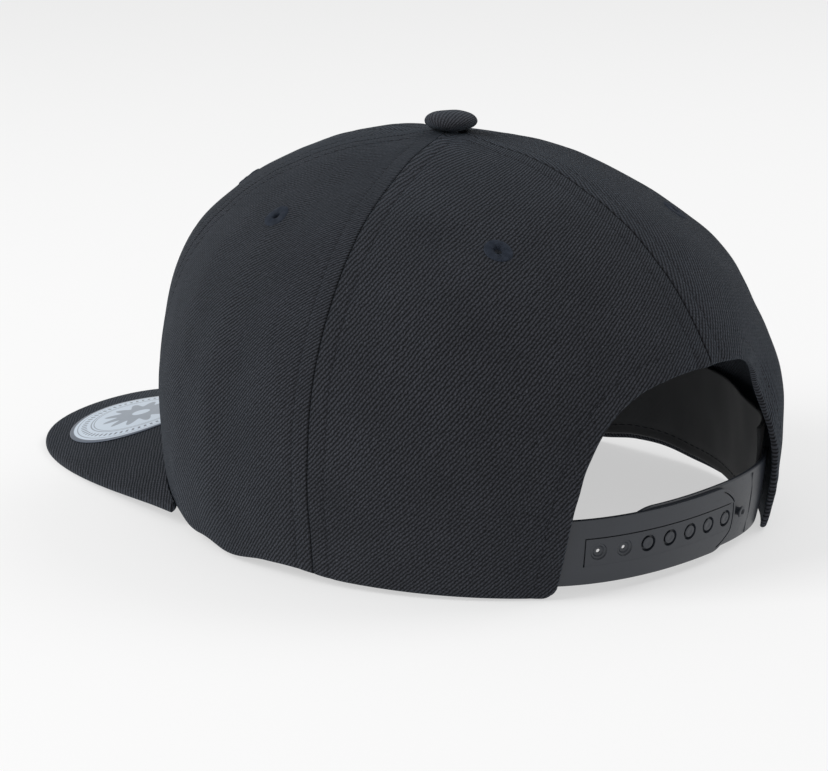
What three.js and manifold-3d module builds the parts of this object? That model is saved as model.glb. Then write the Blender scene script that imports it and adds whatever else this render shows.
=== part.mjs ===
// A six-panel snapback cap with a broad visor, lying on its rim and the corners of its visor.
// Millimetres, +Z up. The visor points to -Y, the arched gap with the snap strap to +Y,
// and +X is the wearer's left. Angles run round the rim from the front, in degrees.

import * as THREE from 'three';
import { mergeVertices } from 'three/addons/utils/BufferGeometryUtils.js';
import Module from 'manifold-3d';

const wasm = await Module();
wasm.setup();

// Crown
const rimLength = 203.2;
const rimWidth = 175.9;
const crownHeight = 117.9;
const crownTopForward = 6.7;
const clothThickness = 1.8;
const crownSwell = 0.05;
const frontPanelSpan = 43;
const sidePanelSpan = 58.7;
const seamGap = 0.3;

// How square the crown's profile is, at its front, sides and back
const profile = {
  across: { front: 2.14, side: 1.84, back: 2.05 },
  up: { front: 3.77, back: 3.15 },
};

// Arched gap at the back, with its two feet at their own distance from the back seam
const archHeight = 63;
const archFootLeft = 50;
const archFootRight = 41;
const archSquareness = 2.95;

// Visor
const visorLength = 72.6;
const visorSpan = 57.5;
const visorThickness = 2.9;
const visorHeel = 2.7;
const visorRootHeight = 10.3;
const visorFall = 14.3;
const visorArch = 17.6;
const visorOutline = { squareness: 4, taper: 1.1 };

// Sticker on the visor, at its place from the wearer's middle and behind the visor's front edge
const stickerRadius = 25;
const stickerThickness = 0.4;
const stickerSideways = 22;
const stickerBehindFront = 40;

// Button and its shank
const buttonRadius = 8.4;
const buttonHeight = 6.2;
const shankRadius = 2.2;
const shankLength = 4.5;

// Stitched air eyelets
const eyeletRadius = 4.5;
const eyeletHoleRadius = 1.3;
const eyeletBarrel = 1;
const eyeletProud = 0.8;
const eyeletBelowTop = { front: 20.6, side: 20.6, back: 21.5 };
const eyeletAcross = { front: 0.5, side: 0.5, back: 0.47 };

// Snap strap
const strapBottom = 3.8;
const strapWidth = 19.4;
const strapThickness = 1.5;
const strapTuck = 11;
const strapClearance = 0.5;
const strapInset = 3.8;
const strapPitch = 8.43;
const strapHoleCount = 7;
const strapHoleRadius = 1.9;
const strapFirstHole = 40.2;
const strapTip = 5.2;
const strapChannelWidth = 8.6;
const strapChannelDepth = 0.45;
const strapChannelLead = 3.6;
const pegCount = 6;
const pegsInHoles = 5;
const pegLength = 2.3;
const pegTail = 3.4;

// Sweatband
const bandWidth = 32;
const bandThickness = 1.2;
const bandRaise = 1.2;

const clearance = 0.3;

// Soft dents and folds of the crown: where they lie round the rim and up the crown, as shares
// of the way from rim to top, how far they stand out, and how wide and long they are
const folds = [
  { angle: 217, rise: 0.32, out: 1.2, across: 8, along: 0.15 },
  { angle: 232, rise: 0.24, out: -1.2, across: 7, along: 0.16 },
  { angle: 201, rise: 0.33, out: -4.2, across: 8, along: 0.1 },
  { angle: 218, rise: 0.64, out: -1.2, across: 17, along: 0.2 },
  { angle: 230, rise: 0.56, out: 2, across: 10, along: 0.09 },
  { angle: 50, rise: 0.38, out: -0.8, across: 12, along: 0.22 },
  { angle: 30, rise: 0.5, out: 1.3, across: 14, along: 0.13 },
  { angle: 70, rise: 0.36, out: -0.9, across: 5, along: 0.2 },
  { angle: 84, rise: 0.3, out: -0.8, across: 6, along: 0.24 },
  { angle: 128, rise: 0.34, out: 0.8, across: 12, along: 0.2 },
];

const colours = {
  cloth: 0x2f343a,
  band: 0x1c1f23,
  strap: 0x464c54,
  thread: 0x3a424c,
  sticker: 0xd3dde6,
};

const sideSeam = frontPanelSpan;
const backSideSeam = frontPanelSpan + sidePanelSpan;
const backSeam = 180;
const { degToRad, lerp, clamp, smoothstep } = THREE.MathUtils;

// The visor

// Height of the visor's middle surface: it falls forwards, and arches down to both sides
function visorMiddle(x, y) {
  const forward = -y - rimLength / 2;
  const halfWidth = rimPoint(visorSpan).x;
  return visorRootHeight - visorFall * (forward / visorLength) - visorArch * (x / halfWidth) ** 2;
}

// The crown

// Plan of the rim's outer edge, and its outward direction
function rimPoint(angle) {
  const a = degToRad(angle);
  return new THREE.Vector2((rimWidth / 2) * Math.sin(a), (-rimLength / 2) * Math.cos(a));
}

// Height of the crown's lower edge: level with the visor's underside where the visor joins,
// with shallow dips behind the visor's end, each over a stretch of the rim
const rimBlend = 10;
const rimDips = [
  { from: 57.5, to: 77.5, depth: 1.3 },
  { from: 70.5, to: 90.5, depth: 2.1 },
  { from: 86, to: 108, depth: -0.9 },
];

function rimHeight(angle) {
  const turn = Math.abs(angle > 180 ? angle - 360 : angle);
  const p = rimPoint(Math.min(turn, visorSpan));
  const underside = visorMiddle(p.x, p.y) - visorThickness / 2;
  const past = (turn - visorSpan) / rimBlend;
  let height = underside * (1 - smoothstep(past, 0, 1));
  for (const dip of rimDips) {
    const share = (turn - dip.from) / (dip.to - dip.from);
    height -= share > 0 && share < 1 ? dip.depth * Math.sin(Math.PI * share) ** 2 : 0;
  }
  return height;
}

// The crown's outer face without its folds; rise is 0 at the rim and 1 at the top
const riseSpacing = 1.75;

function upExponent(angle) {
  const share = (1 - Math.cos(degToRad(angle))) / 2;
  return 2 / lerp(profile.up.front, profile.up.back, share);
}

function smoothCrown(angle, rise) {
  const a = degToRad(angle);
  const lengthways = Math.cos(a) ** 2;
  const end = Math.cos(a) > 0 ? profile.across.front : profile.across.back;
  const across = lerp(profile.across.side, end, lengthways);
  const climb = (Math.PI / 2) * clamp(rise, 0, 1) ** riseSpacing;
  const up = Math.sin(climb) ** upExponent(angle);
  const swell = 1 + crownSwell * Math.sin(Math.PI * up ** 0.8);
  const reach = Math.max(Math.cos(climb), 0) ** (2 / across) * swell;
  const rim = rimPoint(angle);
  const low = rimHeight(angle);
  return new THREE.Vector3(
    rim.x * reach,
    lerp(-crownTopForward, rim.y, reach),
    lerp(low, crownHeight, up),
  );
}

// The rise at which the crown's face reaches a height
function riseAt(angle, height) {
  const low = rimHeight(angle);
  const up = clamp((height - low) / (crownHeight - low), 0, 1);
  const climb = Math.asin(up ** (1 / upExponent(angle)));
  return (climb / (Math.PI / 2)) ** (1 / riseSpacing);
}

// Outward direction of the crown's face
function crownNormal(angle, rise) {
  const turn = 0.5;
  const step = 0.004;
  const low = clamp(rise - step, 0.0005, 1 - 3 * step);
  const high = low + 2 * step;
  const round = smoothCrown(angle + turn, (low + high) / 2).sub(smoothCrown(angle - turn, (low + high) / 2));
  const climb = smoothCrown(angle, high).sub(smoothCrown(angle, low));
  return round.cross(climb).normalize();
}

function foldOut(angle, rise) {
  let out = 0;
  for (const fold of folds) {
    const round = (angle - fold.angle) / fold.across;
    const along = (rise - fold.rise) / fold.along;
    out += fold.out * Math.exp(-round * round - along * along);
  }
  return out;
}

// A point a depth under the crown's outer face, folds included
function crownPoint(angle, rise, depth) {
  const normal = crownNormal(angle, rise);
  const base = smoothCrown(angle, rise);
  const point = base.clone().addScaledVector(normal, foldOut(angle, rise) - depth);
  if (rise === 0) {
    point.z = base.z;
  }
  return point;
}

// Half-width of the arched gap at a share of its outline, from foot (0) to top (1)
function archEdge(share, foot) {
  const turn = (Math.PI / 2) * share;
  return {
    halfWidth: foot * Math.cos(turn) ** (2 / archSquareness),
    height: archHeight * Math.sin(turn) ** (2 / archSquareness),
  };
}

// Angle from the back seam at which the crown's outer face stands a distance to the side of it
function angleAside(distance, height) {
  let near = 0;
  let far = 75;
  for (let step = 0; step < 30; step += 1) {
    const middle = (near + far) / 2;
    const x = Math.abs(smoothCrown(180 - middle, riseAt(180 - middle, height)).x);
    if (x < distance) {
      near = middle;
    } else {
      far = middle;
    }
  }
  return (near + far) / 2;
}

// Mesh builders

// A closed wall between two faces mapped from the unit square, with as many columns and rows
function wallGeometry(columns, rows, face, back) {
  const points = [];
  for (const side of [face, back]) {
    for (let row = 0; row <= rows; row += 1) {
      for (let column = 0; column <= columns; column += 1) {
        points.push(side(column / columns, row / rows));
      }
    }
  }
  const at = (side, column, row) => (side * (rows + 1) + row) * (columns + 1) + column;
  const index = [];
  const quad = (a, b, c, d) => index.push(a, b, c, a, c, d);
  for (let row = 0; row < rows; row += 1) {
    for (let column = 0; column < columns; column += 1) {
      quad(at(0, column, row), at(0, column + 1, row), at(0, column + 1, row + 1), at(0, column, row + 1));
      quad(at(1, column, row), at(1, column, row + 1), at(1, column + 1, row + 1), at(1, column + 1, row));
    }
  }
  for (let column = 0; column < columns; column += 1) {
    quad(at(0, column, 0), at(1, column, 0), at(1, column + 1, 0), at(0, column + 1, 0));
    quad(at(0, column, rows), at(0, column + 1, rows), at(1, column + 1, rows), at(1, column, rows));
  }
  for (let row = 0; row < rows; row += 1) {
    quad(at(0, 0, row), at(0, 0, row + 1), at(1, 0, row + 1), at(1, 0, row));
    quad(at(0, columns, row), at(1, columns, row), at(1, columns, row + 1), at(0, columns, row + 1));
  }
  return indexedGeometry(points, index);
}

// A closed body through rings of equally many points, with both ends filled from their middles
function sweptGeometry(rings) {
  const count = rings[0].length;
  const points = rings.flat();
  const index = [];
  for (let ring = 0; ring < rings.length - 1; ring += 1) {
    for (let i = 0; i < count; i += 1) {
      const next = (i + 1) % count;
      const a = ring * count + i;
      const b = ring * count + next;
      index.push(a, b, b + count, a, b + count, a + count);
    }
  }
  const ends = [rings[0], rings[rings.length - 1]];
  ends.forEach((end, which) => {
    const middle = end.reduce((sum, p) => sum.add(p), new THREE.Vector3()).divideScalar(count);
    const centre = points.length;
    const first = which * (rings.length - 1) * count;
    points.push(middle);
    for (let i = 0; i < count; i += 1) {
      const next = (i + 1) % count;
      index.push(...(which === 0 ? [centre, first + next, first + i] : [centre, first + i, first + next]));
    }
  });
  return indexedGeometry(points, index);
}

function indexedGeometry(points, index) {
  const geometry = new THREE.BufferGeometry();
  const numbers = points.flatMap((p) => [p.x, p.y, p.z]);
  geometry.setAttribute('position', new THREE.Float32BufferAttribute(numbers, 3));
  geometry.setIndex(index);
  return geometry;
}

// A turned body about +Z from radius and height pairs that close on the axis or on themselves
function turnedGeometry(pairs, sides) {
  const outline = pairs.map(([radius, height]) => new THREE.Vector2(radius, height));
  return new THREE.LatheGeometry(outline, sides).rotateX(Math.PI / 2);
}

function toSolid(geometry) {
  const bare = geometry.clone();
  bare.deleteAttribute('normal');
  bare.deleteAttribute('uv');
  const merged = mergeVertices(bare, 1e-4);
  return new wasm.Manifold(new wasm.Mesh({
    numProp: 3,
    vertProperties: new Float32Array(merged.attributes.position.array),
    triVerts: new Uint32Array(merged.index.array),
  }));
}

function fromSolid(solid) {
  const mesh = solid.getMesh();
  const geometry = new THREE.BufferGeometry();
  geometry.setAttribute('position', new THREE.BufferAttribute(new Float32Array(mesh.vertProperties), 3));
  geometry.setIndex([...mesh.triVerts]);
  geometry.computeVertexNormals();
  return geometry;
}

// Places a body made about +Z so that it stands on a point along a direction
function aimed(geometry, point, direction) {
  const turn = new THREE.Quaternion().setFromUnitVectors(new THREE.Vector3(0, 0, 1), direction);
  return geometry.applyQuaternion(turn).translate(point.x, point.y, point.z);
}

function piece(name, geometry, colour, roughness) {
  const material = new THREE.MeshStandardMaterial({ color: colour, roughness, metalness: 0 });
  geometry.computeVertexNormals();
  const mesh = new THREE.Mesh(geometry, material);
  mesh.name = name;
  return mesh;
}

// Crown panels

const topHoleRadius = shankRadius + clearance;

// The rise at which the crown has drawn in to the hole for the button's shank
function topRise() {
  let low = 0.5;
  let high = 1;
  for (let step = 0; step < 40; step += 1) {
    const middle = (low + high) / 2;
    if (smoothCrown(90, middle).x > topHoleRadius + clothThickness / 2) {
      low = middle;
    } else {
      high = middle;
    }
  }
  return (low + high) / 2;
}

const crownTopRise = topRise();

// Moves an angle off a seam by half the seam's gap, measured along the cloth
function offSeam(angle, rise, side) {
  const turn = 0.5;
  const span = smoothCrown(angle + turn, rise).distanceTo(smoothCrown(angle - turn, rise));
  return angle + (side * seamGap / 2) * (2 * turn / span);
}

// Where the panel between two seams has the point (across, up) of its unit square
function plainPanelPlace(from, to, across, up) {
  const rise = up * crownTopRise;
  return { angle: lerp(offSeam(from, rise, 1), offSeam(to, rise, -1), across), rise };
}

// The back panel's square follows the side seam, and the arch and the back seam over it.
// Its rows crowd upwards along the side seam, and its columns turn late into the arch's rows.
const archShareOfRows = 0.5;
const backRows = { crowding: 0.9, lateness: 1.2 };

function backPanelPlace(foot, across, up) {
  const onArch = Math.min(up / archShareOfRows, 1);
  const edge = archEdge(onArch, foot);
  const archRise = riseAt(180, archHeight);
  const overArch = Math.max(up - archShareOfRows, 0) / (1 - archShareOfRows);
  const seamRise = lerp(archRise, crownTopRise, overArch);
  const edgeAngle = 180 - angleAside(Math.max(edge.halfWidth, 0), edge.height);
  const innerRise = overArch > 0 ? seamRise : riseAt(edgeAngle, edge.height);
  const innerAngle = Math.min(edgeAngle, offSeam(180, Math.max(innerRise, archRise), -1));
  const outerRise = crownTopRise * up ** backRows.crowding;
  const rise = lerp(outerRise, innerRise, across ** backRows.lateness);
  return { angle: lerp(offSeam(backSideSeam, outerRise, 1), innerAngle, across), rise };
}

function panelGeometry(columns, rows, place) {
  const point = (depth) => (across, up) => {
    const where = place(across, up);
    return crownPoint(where.angle, where.rise, depth);
  };
  return wallGeometry(columns, rows, point(0), point(clothThickness));
}

// Turns a place on the wearer's left into its mirror on the right
function mirrored(place) {
  return (across, up) => {
    const where = place(1 - across, up);
    return { angle: 360 - where.angle, rise: where.rise };
  };
}

// Eyelets, standing in round holes through the middle of each panel
const eyeletSides = 14;
const eyeletRim = { inset: 0.4, outer: 0.7, inner: 0.6 };

function eyeletGeometry() {
  const barrel = eyeletHoleRadius + eyeletBarrel;
  const seat = clearance;
  const pairs = [
    [eyeletHoleRadius, -clothThickness],
    [barrel, -clothThickness],
    [barrel, seat],
    [eyeletRadius, seat],
    [eyeletRadius - eyeletRim.inset, seat + eyeletProud * eyeletRim.outer],
    [(eyeletRadius + eyeletHoleRadius) / 2, seat + eyeletProud],
    [eyeletHoleRadius, seat + eyeletProud * eyeletRim.inner],
    [eyeletHoleRadius, -clothThickness],
  ];
  return turnedGeometry(pairs, eyeletSides);
}

function eyeletHoleGeometry() {
  const radius = eyeletHoleRadius + eyeletBarrel + clearance;
  const depth = 6 * clothThickness;
  return new THREE.CylinderGeometry(radius, radius, depth, eyeletSides).rotateX(Math.PI / 2);
}

const panels = [
  { name: 'front', from: 0, to: sideSeam, columns: 8, rows: 14 },
  { name: 'side', from: sideSeam, to: backSideSeam, columns: 10, rows: 14 },
  { name: 'back', from: backSideSeam, to: backSeam, columns: 14, rows: 18 },
];

function makeCrown() {
  const group = new THREE.Group();
  for (const panel of panels) {
    for (const hand of ['left', 'right']) {
      const foot = hand === 'left' ? archFootLeft : archFootRight;
      const plain = (across, up) => plainPanelPlace(panel.from, panel.to, across, up);
      const arched = (across, up) => backPanelPlace(foot, across, up);
      const leftPlace = panel.name === 'back' ? arched : plain;
      const place = hand === 'left' ? leftPlace : mirrored(leftPlace);
      const across = lerp(panel.from, panel.to, eyeletAcross[panel.name]);
      const angle = hand === 'left' ? across : 360 - across;
      const rise = riseAt(angle, crownHeight - eyeletBelowTop[panel.name]);
      const spot = crownPoint(angle, rise, 0);
      const outward = crownNormal(angle, rise);
      const cloth = toSolid(panelGeometry(panel.columns, panel.rows, place));
      const hole = toSolid(aimed(eyeletHoleGeometry(), spot, outward));
      const geometry = fromSolid(cloth.subtract(hole));
      group.add(piece(`panel_${panel.name}_${hand}`, geometry, colours.cloth, 0.95));
      const eyelet = aimed(eyeletGeometry(), spot, outward);
      group.add(piece(`eyelet_${panel.name}_${hand}`, eyelet, colours.thread, 0.7));
    }
  }
  return group;
}

// Button, its shank reaching down through the hole that the panels leave.
// Its dome's rings hold radius and height as shares of the button's own.
const buttonSides = 20;
const buttonDome = [
  { radius: 0.72, height: 0.08 },
  { radius: 0.95, height: 0.25 },
  { radius: 1, height: 0.45 },
  { radius: 0.94, height: 0.68 },
  { radius: 0.72, height: 0.88 },
  { radius: 0.4, height: 0.97 },
  { radius: 0, height: 1 },
];

function makeButton() {
  const seat = crownHeight + clearance;
  const pairs = [
    [0, seat - shankLength],
    [shankRadius, seat - shankLength],
    [shankRadius, seat + buttonHeight * buttonDome[0].height],
    ...buttonDome.map((ring) => [buttonRadius * ring.radius, seat + buttonHeight * ring.height]),
  ];
  const geometry = turnedGeometry(pairs, buttonSides);
  geometry.translate(0, -crownTopForward, 0);
  return piece('button', geometry, colours.cloth, 0.95);
}

// Visor, one board from the crown's wall to its rounded edge
const visorSteps = 32;
const visorRows = 5;
const visorEdgeSteps = 4;

// Plan of the visor's inner edge (out 0) and outer edge (out 1); turn runs from -1 to 1.
// The inner edge clears the crown's wall at a height above the crown's lower edge.
function visorPlan(turn, out, height) {
  const angle = turn * visorSpan;
  const a = degToRad(angle);
  const normal = new THREE.Vector2(Math.sin(a) / rimWidth, -Math.cos(a) / rimLength).normalize();
  const wall = smoothCrown(angle, riseAt(angle, rimHeight(angle) + height));
  const inner = new THREE.Vector2(wall.x, wall.y).addScaledVector(normal, clearance);
  const corner = rimPoint(visorSpan);
  const sideways = Math.sin(degToRad(90 * turn));
  const reach = Math.max(1 - Math.abs(sideways) ** visorOutline.squareness, 0);
  const length = visorLength + rimLength / 2 + corner.y;
  const outer = new THREE.Vector2(
    (corner.x + clearance + visorHeel) * sideways,
    corner.y - length * reach ** visorOutline.taper,
  );
  return inner.lerp(outer, out);
}

function visorSection(turn) {
  const half = visorThickness / 2;
  const inner = visorPlan(turn, 0, visorThickness);
  const outer = visorPlan(turn, 1, visorThickness);
  const width = inner.distanceTo(outer);
  const round = Math.min(half, width * 0.45);
  const straight = 1 - round / width;
  const top = [];
  const bottom = [];
  for (let row = 0; row <= visorRows; row += 1) {
    const p = visorPlan(turn, straight * (row / visorRows), visorThickness);
    const q = visorPlan(turn, straight * (row / visorRows), 0);
    top.push(new THREE.Vector3(p.x, p.y, visorMiddle(p.x, p.y) + half));
    bottom.push(new THREE.Vector3(q.x, q.y, visorMiddle(q.x, q.y) - half));
  }
  const edge = [];
  for (let step = 1; step < visorEdgeSteps; step += 1) {
    const t = (Math.PI * step) / visorEdgeSteps;
    const share = straight + (1 - straight) * Math.sin(t);
    const p = visorPlan(turn, share, half * (1 + Math.cos(t)));
    edge.push(new THREE.Vector3(p.x, p.y, visorMiddle(p.x, p.y) + half * Math.cos(t)));
  }
  return [...top, ...edge, ...bottom.reverse()];
}

function makeVisor() {
  const rings = [];
  for (let step = 0; step <= visorSteps; step += 1) {
    rings.push(visorSection((2 * step) / visorSteps - 1));
  }
  return piece('visor', sweptGeometry(rings), colours.cloth, 0.95);
}

// Sticker, lying on the visor's top and following its curve
function makeSticker() {
  const frontEdge = -rimLength / 2 - visorLength;
  const centre = new THREE.Vector2(stickerSideways, frontEdge + stickerBehindFront);
  const seat = visorThickness / 2 + clearance;
  const rings = [];
  const sides = 32;
  const level = (radius, height) => {
    const ring = [];
    for (let i = 0; i < sides; i += 1) {
      const t = (2 * Math.PI * i) / sides;
      const x = centre.x + radius * Math.cos(t);
      const y = centre.y + radius * Math.sin(t);
      ring.push(new THREE.Vector3(x, y, visorMiddle(x, y) + height));
    }
    return ring;
  };
  for (const share of [0.3, 1]) {
    rings.push(level(stickerRadius * share, seat));
  }
  for (const share of [1, 0.3]) {
    rings.push(level(stickerRadius * share, seat + stickerThickness));
  }
  return piece('visor_sticker', sweptGeometry(rings), colours.sticker, 0.4);
}

// Snap strap: both halves follow the crown's wall, one inside the other

const strapStep = 3;
const footTurn = {
  left: angleAside(archFootLeft, strapBottom),
  right: angleAside(archFootRight, strapBottom),
};
const holeStrapDepth = clothThickness + strapClearance;
const pegStrapDepth = holeStrapDepth + strapThickness + clearance;

// Distance along the strap's middle line from the back seam, positive to the wearer's left
function strapAngle(distance, depth) {
  const direction = Math.sign(distance) || 1;
  const goal = Math.abs(distance);
  let length = 0;
  let turn = 0;
  const step = 0.5;
  const at = (t) => strapPoint(180 - direction * t, 0.5, depth);
  let last = at(0);
  while (length < goal && turn < 90) {
    const next = at(turn + step);
    const gain = next.distanceTo(last);
    if (length + gain >= goal) {
      turn += step * ((goal - length) / gain);
      break;
    }
    length += gain;
    turn += step;
    last = next;
  }
  return 180 - direction * turn;
}

// Between the arch's feet the stiff strap runs flatter than the crown's curve
function strapSag(angle) {
  const foot = angle < 180 ? footTurn.left : footTurn.right;
  const share = Math.min(Math.abs(180 - angle) / foot, 1);
  return strapInset * (1 - share * share) ** 2;
}

// A point of the strap at a share of its width, a depth under the crown's outer face
function strapPoint(angle, share, depth) {
  const height = strapBottom + strapWidth * share;
  const wall = crownPoint(angle, riseAt(angle, height), depth + strapSag(angle));
  return new THREE.Vector3(wall.x, wall.y, height);
}

function strapDirection(distance, depth) {
  const turn = 0.5;
  const before = strapPoint(strapAngle(distance - turn, depth), 0.5, depth);
  const after = strapPoint(strapAngle(distance + turn, depth), 0.5, depth);
  const angle = strapAngle(distance, depth);
  const across = strapPoint(angle, 1, depth).sub(strapPoint(angle, 0, depth));
  return across.cross(after.sub(before)).normalize();
}

// A band from one distance to another, rounded at one end or at neither
function bandRings(from, to, depth, tip, thickness, width) {
  const rings = [];
  const steps = Math.ceil((to - from) / strapStep);
  for (let step = 0; step <= steps; step += 1) {
    const along = step / steps;
    const distance = lerp(from, to, along);
    const intoTip = tip > 0 ? clamp((tip - (distance - from)) / tip, 0, 0.98) : 0;
    const half = (width / strapWidth / 2) * Math.sqrt(1 - intoTip ** 2.4);
    const outerAngle = strapAngle(distance, depth);
    const outerLow = strapPoint(outerAngle, 0.5 - half, depth);
    const outerHigh = strapPoint(outerAngle, 0.5 + half, depth);
    const innerLow = strapPoint(outerAngle, 0.5 - half, depth + thickness);
    const innerHigh = strapPoint(outerAngle, 0.5 + half, depth + thickness);
    rings.push([outerLow, outerHigh, innerHigh, innerLow]);
  }
  return rings;
}

const holePlaces = Array.from({ length: strapHoleCount }, (_, i) => strapFirstHole - i * strapPitch);
const pegPlaces = Array.from({ length: pegCount }, (_, i) => (
  holePlaces[strapHoleCount - pegsInHoles] - i * strapPitch
));

function footDistance(foot, depth) {
  const angle = 180 - angleAside(foot, strapBottom + strapWidth / 2);
  let length = 0;
  let last = strapPoint(180, 0.5, depth);
  const steps = 60;
  for (let step = 1; step <= steps; step += 1) {
    const next = strapPoint(lerp(180, angle, step / steps), 0.5, depth);
    length += next.distanceTo(last);
    last = next;
  }
  return length;
}

// The half with the holes, with a shallow channel along them in its outer face
const strapHoleSides = 14;

function makeHoleStrap() {
  const start = holePlaces[strapHoleCount - 1] - strapTip;
  const end = footDistance(archFootLeft, holeStrapDepth) + strapTuck;
  const tip = strapWidth / 2;
  let strap = toSolid(sweptGeometry(bandRings(start, end, holeStrapDepth, tip, strapThickness, strapWidth)));
  const channelStart = start + strapTip - strapChannelLead;
  const channelEnd = strapFirstHole + strapChannelLead;
  const channelFace = holeStrapDepth - clearance;
  const cut = clearance + strapChannelDepth;
  const channel = bandRings(channelStart, channelEnd, channelFace, 0, cut, strapChannelWidth);
  strap = strap.subtract(toSolid(sweptGeometry(channel)));
  for (const place of holePlaces) {
    const length = 8 * strapThickness;
    const cutter = new THREE.CylinderGeometry(strapHoleRadius, strapHoleRadius, length, strapHoleSides);
    const spot = strapPoint(strapAngle(place, holeStrapDepth), 0.5, holeStrapDepth);
    const hole = aimed(cutter.rotateX(Math.PI / 2), spot, strapDirection(place, holeStrapDepth));
    strap = strap.subtract(toSolid(hole));
  }
  return piece('strap_holes', fromSolid(strap), colours.strap, 0.42);
}

// The half with the pegs; each peg has a waist under a wider head
const pegSides = 12;
const pegProfile = [
  { radius: 0.8, height: 0.4 },
  { radius: 1, height: 0.6 },
  { radius: 1, height: 0.84 },
  { radius: 0.6, height: 1 },
  { radius: 0, height: 1 },
];

function makePegStrap() {
  const start = -footDistance(archFootRight, pegStrapDepth) - strapTuck;
  const end = pegPlaces[0] + pegTail;
  let strap = toSolid(sweptGeometry(bandRings(start, end, pegStrapDepth, 0, strapThickness, strapWidth)));
  const pegRadius = strapHoleRadius - clearance;
  const sunk = strapThickness / 2;
  const pairs = [
    [0, -sunk],
    [pegRadius * pegProfile[0].radius, -sunk],
    ...pegProfile.map((ring) => [pegRadius * ring.radius, pegLength * ring.height]),
  ];
  for (const place of pegPlaces) {
    const across = strapAngle(place, holeStrapDepth);
    const outward = strapDirection(place, holeStrapDepth);
    const outside = strapPoint(across, 0.5, holeStrapDepth);
    const spot = outside.addScaledVector(outward, holeStrapDepth - pegStrapDepth);
    strap = strap.add(toSolid(aimed(turnedGeometry(pairs, pegSides), spot, outward)));
  }
  return piece('strap_pegs', fromSolid(strap), colours.strap, 0.42);
}

// Sweatband inside the rim, drawn in at the back where the strap's ends lie between
function makeSweatband() {
  const seat = clothThickness + clearance;
  const behindStrap = pegStrapDepth + strapThickness + clearance;
  const margin = 1.5;
  const from = -(180 - footTurn.right - margin);
  const to = 180 - footTurn.left - margin;
  const drawIn = 30;
  const outside = (angle) => {
    const left = smoothstep(angle, to - 1.6 * drawIn, to - 0.6 * drawIn);
    const right = smoothstep(-angle, -from - 1.6 * drawIn, -from - 0.6 * drawIn);
    return lerp(seat, behindStrap, Math.max(left, right));
  };
  const point = (extra) => (across, up) => {
    const angle = lerp(from, to, across);
    const turn = angle < 0 ? angle + 360 : angle;
    const height = rimHeight(turn) + bandRaise + bandWidth * up;
    return crownPoint(turn, riseAt(turn, height), outside(angle) + extra);
  };
  const geometry = wallGeometry(56, 3, point(0), point(bandThickness));
  return piece('sweatband', geometry, colours.band, 0.9);
}

// The cap, tipped back until its visor's corners and the back of its rim both touch the ground
function lowest(mesh, tilt) {
  const position = mesh.geometry.attributes.position;
  let low = Infinity;
  for (let i = 0; i < position.count; i += 1) {
    low = Math.min(low, position.getY(i) * Math.sin(tilt) + position.getZ(i) * Math.cos(tilt));
  }
  return low;
}

function restingTilt(front, backs) {
  let steep = degToRad(-20);
  let level = degToRad(20);
  for (let step = 0; step < 50; step += 1) {
    const tilt = (steep + level) / 2;
    const backLow = Math.min(...backs.map((mesh) => lowest(mesh, tilt)));
    if (lowest(front, tilt) < backLow) {
      level = tilt;
    } else {
      steep = tilt;
    }
  }
  return (steep + level) / 2;
}

const crown = makeCrown();
const visor = makeVisor();
const cap = new THREE.Group();
cap.add(crown, makeButton(), visor, makeSticker(), makeHoleStrap(), makePegStrap(), makeSweatband());

const backs = crown.children.filter((mesh) => mesh.name.startsWith('panel_back'));
cap.rotation.x = restingTilt(visor, backs);
cap.updateMatrixWorld(true);

// The origin is on the ground, under the middle of the whole cap
const box = new THREE.Box3().setFromObject(cap, true);
const middle = box.getCenter(new THREE.Vector3());
cap.position.set(-middle.x, -middle.y, -box.min.z);

const snapback = new THREE.Group();
snapback.add(cap);
snapback.updateMatrixWorld(true);

export default snapback;
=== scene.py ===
"""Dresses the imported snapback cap: crown, visor, button, eyelets, snap strap and sweatband.

Sizes are millimetres in the cap's own frame: the visor points to -Y, the arched gap to +Y,
+X is the wearer's left and Z is up. Angles run round the rim from the front, in degrees.
A Placement tips that frame onto the ground and turns it into metres.
"""

import logging
import math
from collections.abc import Callable, Sequence
from dataclasses import dataclass, field
from enum import Enum

import bmesh
import bpy
import numpy as np
from mathutils import Matrix, Vector, noise

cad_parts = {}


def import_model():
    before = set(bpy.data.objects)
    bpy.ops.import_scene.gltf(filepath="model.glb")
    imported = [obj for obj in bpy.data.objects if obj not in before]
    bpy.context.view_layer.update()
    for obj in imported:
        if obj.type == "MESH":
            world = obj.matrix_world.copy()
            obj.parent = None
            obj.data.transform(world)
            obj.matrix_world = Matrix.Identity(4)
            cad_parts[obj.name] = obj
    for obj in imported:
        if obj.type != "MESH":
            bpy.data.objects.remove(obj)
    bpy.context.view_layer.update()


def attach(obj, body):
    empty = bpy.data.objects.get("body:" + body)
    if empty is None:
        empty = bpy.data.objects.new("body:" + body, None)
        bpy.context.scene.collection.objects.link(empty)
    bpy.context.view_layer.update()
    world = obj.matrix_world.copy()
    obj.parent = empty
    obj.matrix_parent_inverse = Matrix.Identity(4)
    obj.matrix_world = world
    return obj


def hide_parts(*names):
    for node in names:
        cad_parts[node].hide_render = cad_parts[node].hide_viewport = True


Array = np.ndarray
GridPlaces = list[tuple[int, int]]
MM = 0.001
BODY = "root"
log = logging.getLogger("cap")


# Small helpers


def ease(value: Array, low: float = 0.0, high: float = 1.0) -> Array:
    """Returns the smooth step of value from 0 at low to 1 at high."""
    share = np.clip((value - low) / (high - low), 0.0, 1.0)
    return share * share * (3.0 - 2.0 * share)


def bell(value: Array, middle: float, width: float) -> Array:
    """Returns a bell curve of height 1 round a middle."""
    return np.exp(-(((value - middle) / width) ** 2))


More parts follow.
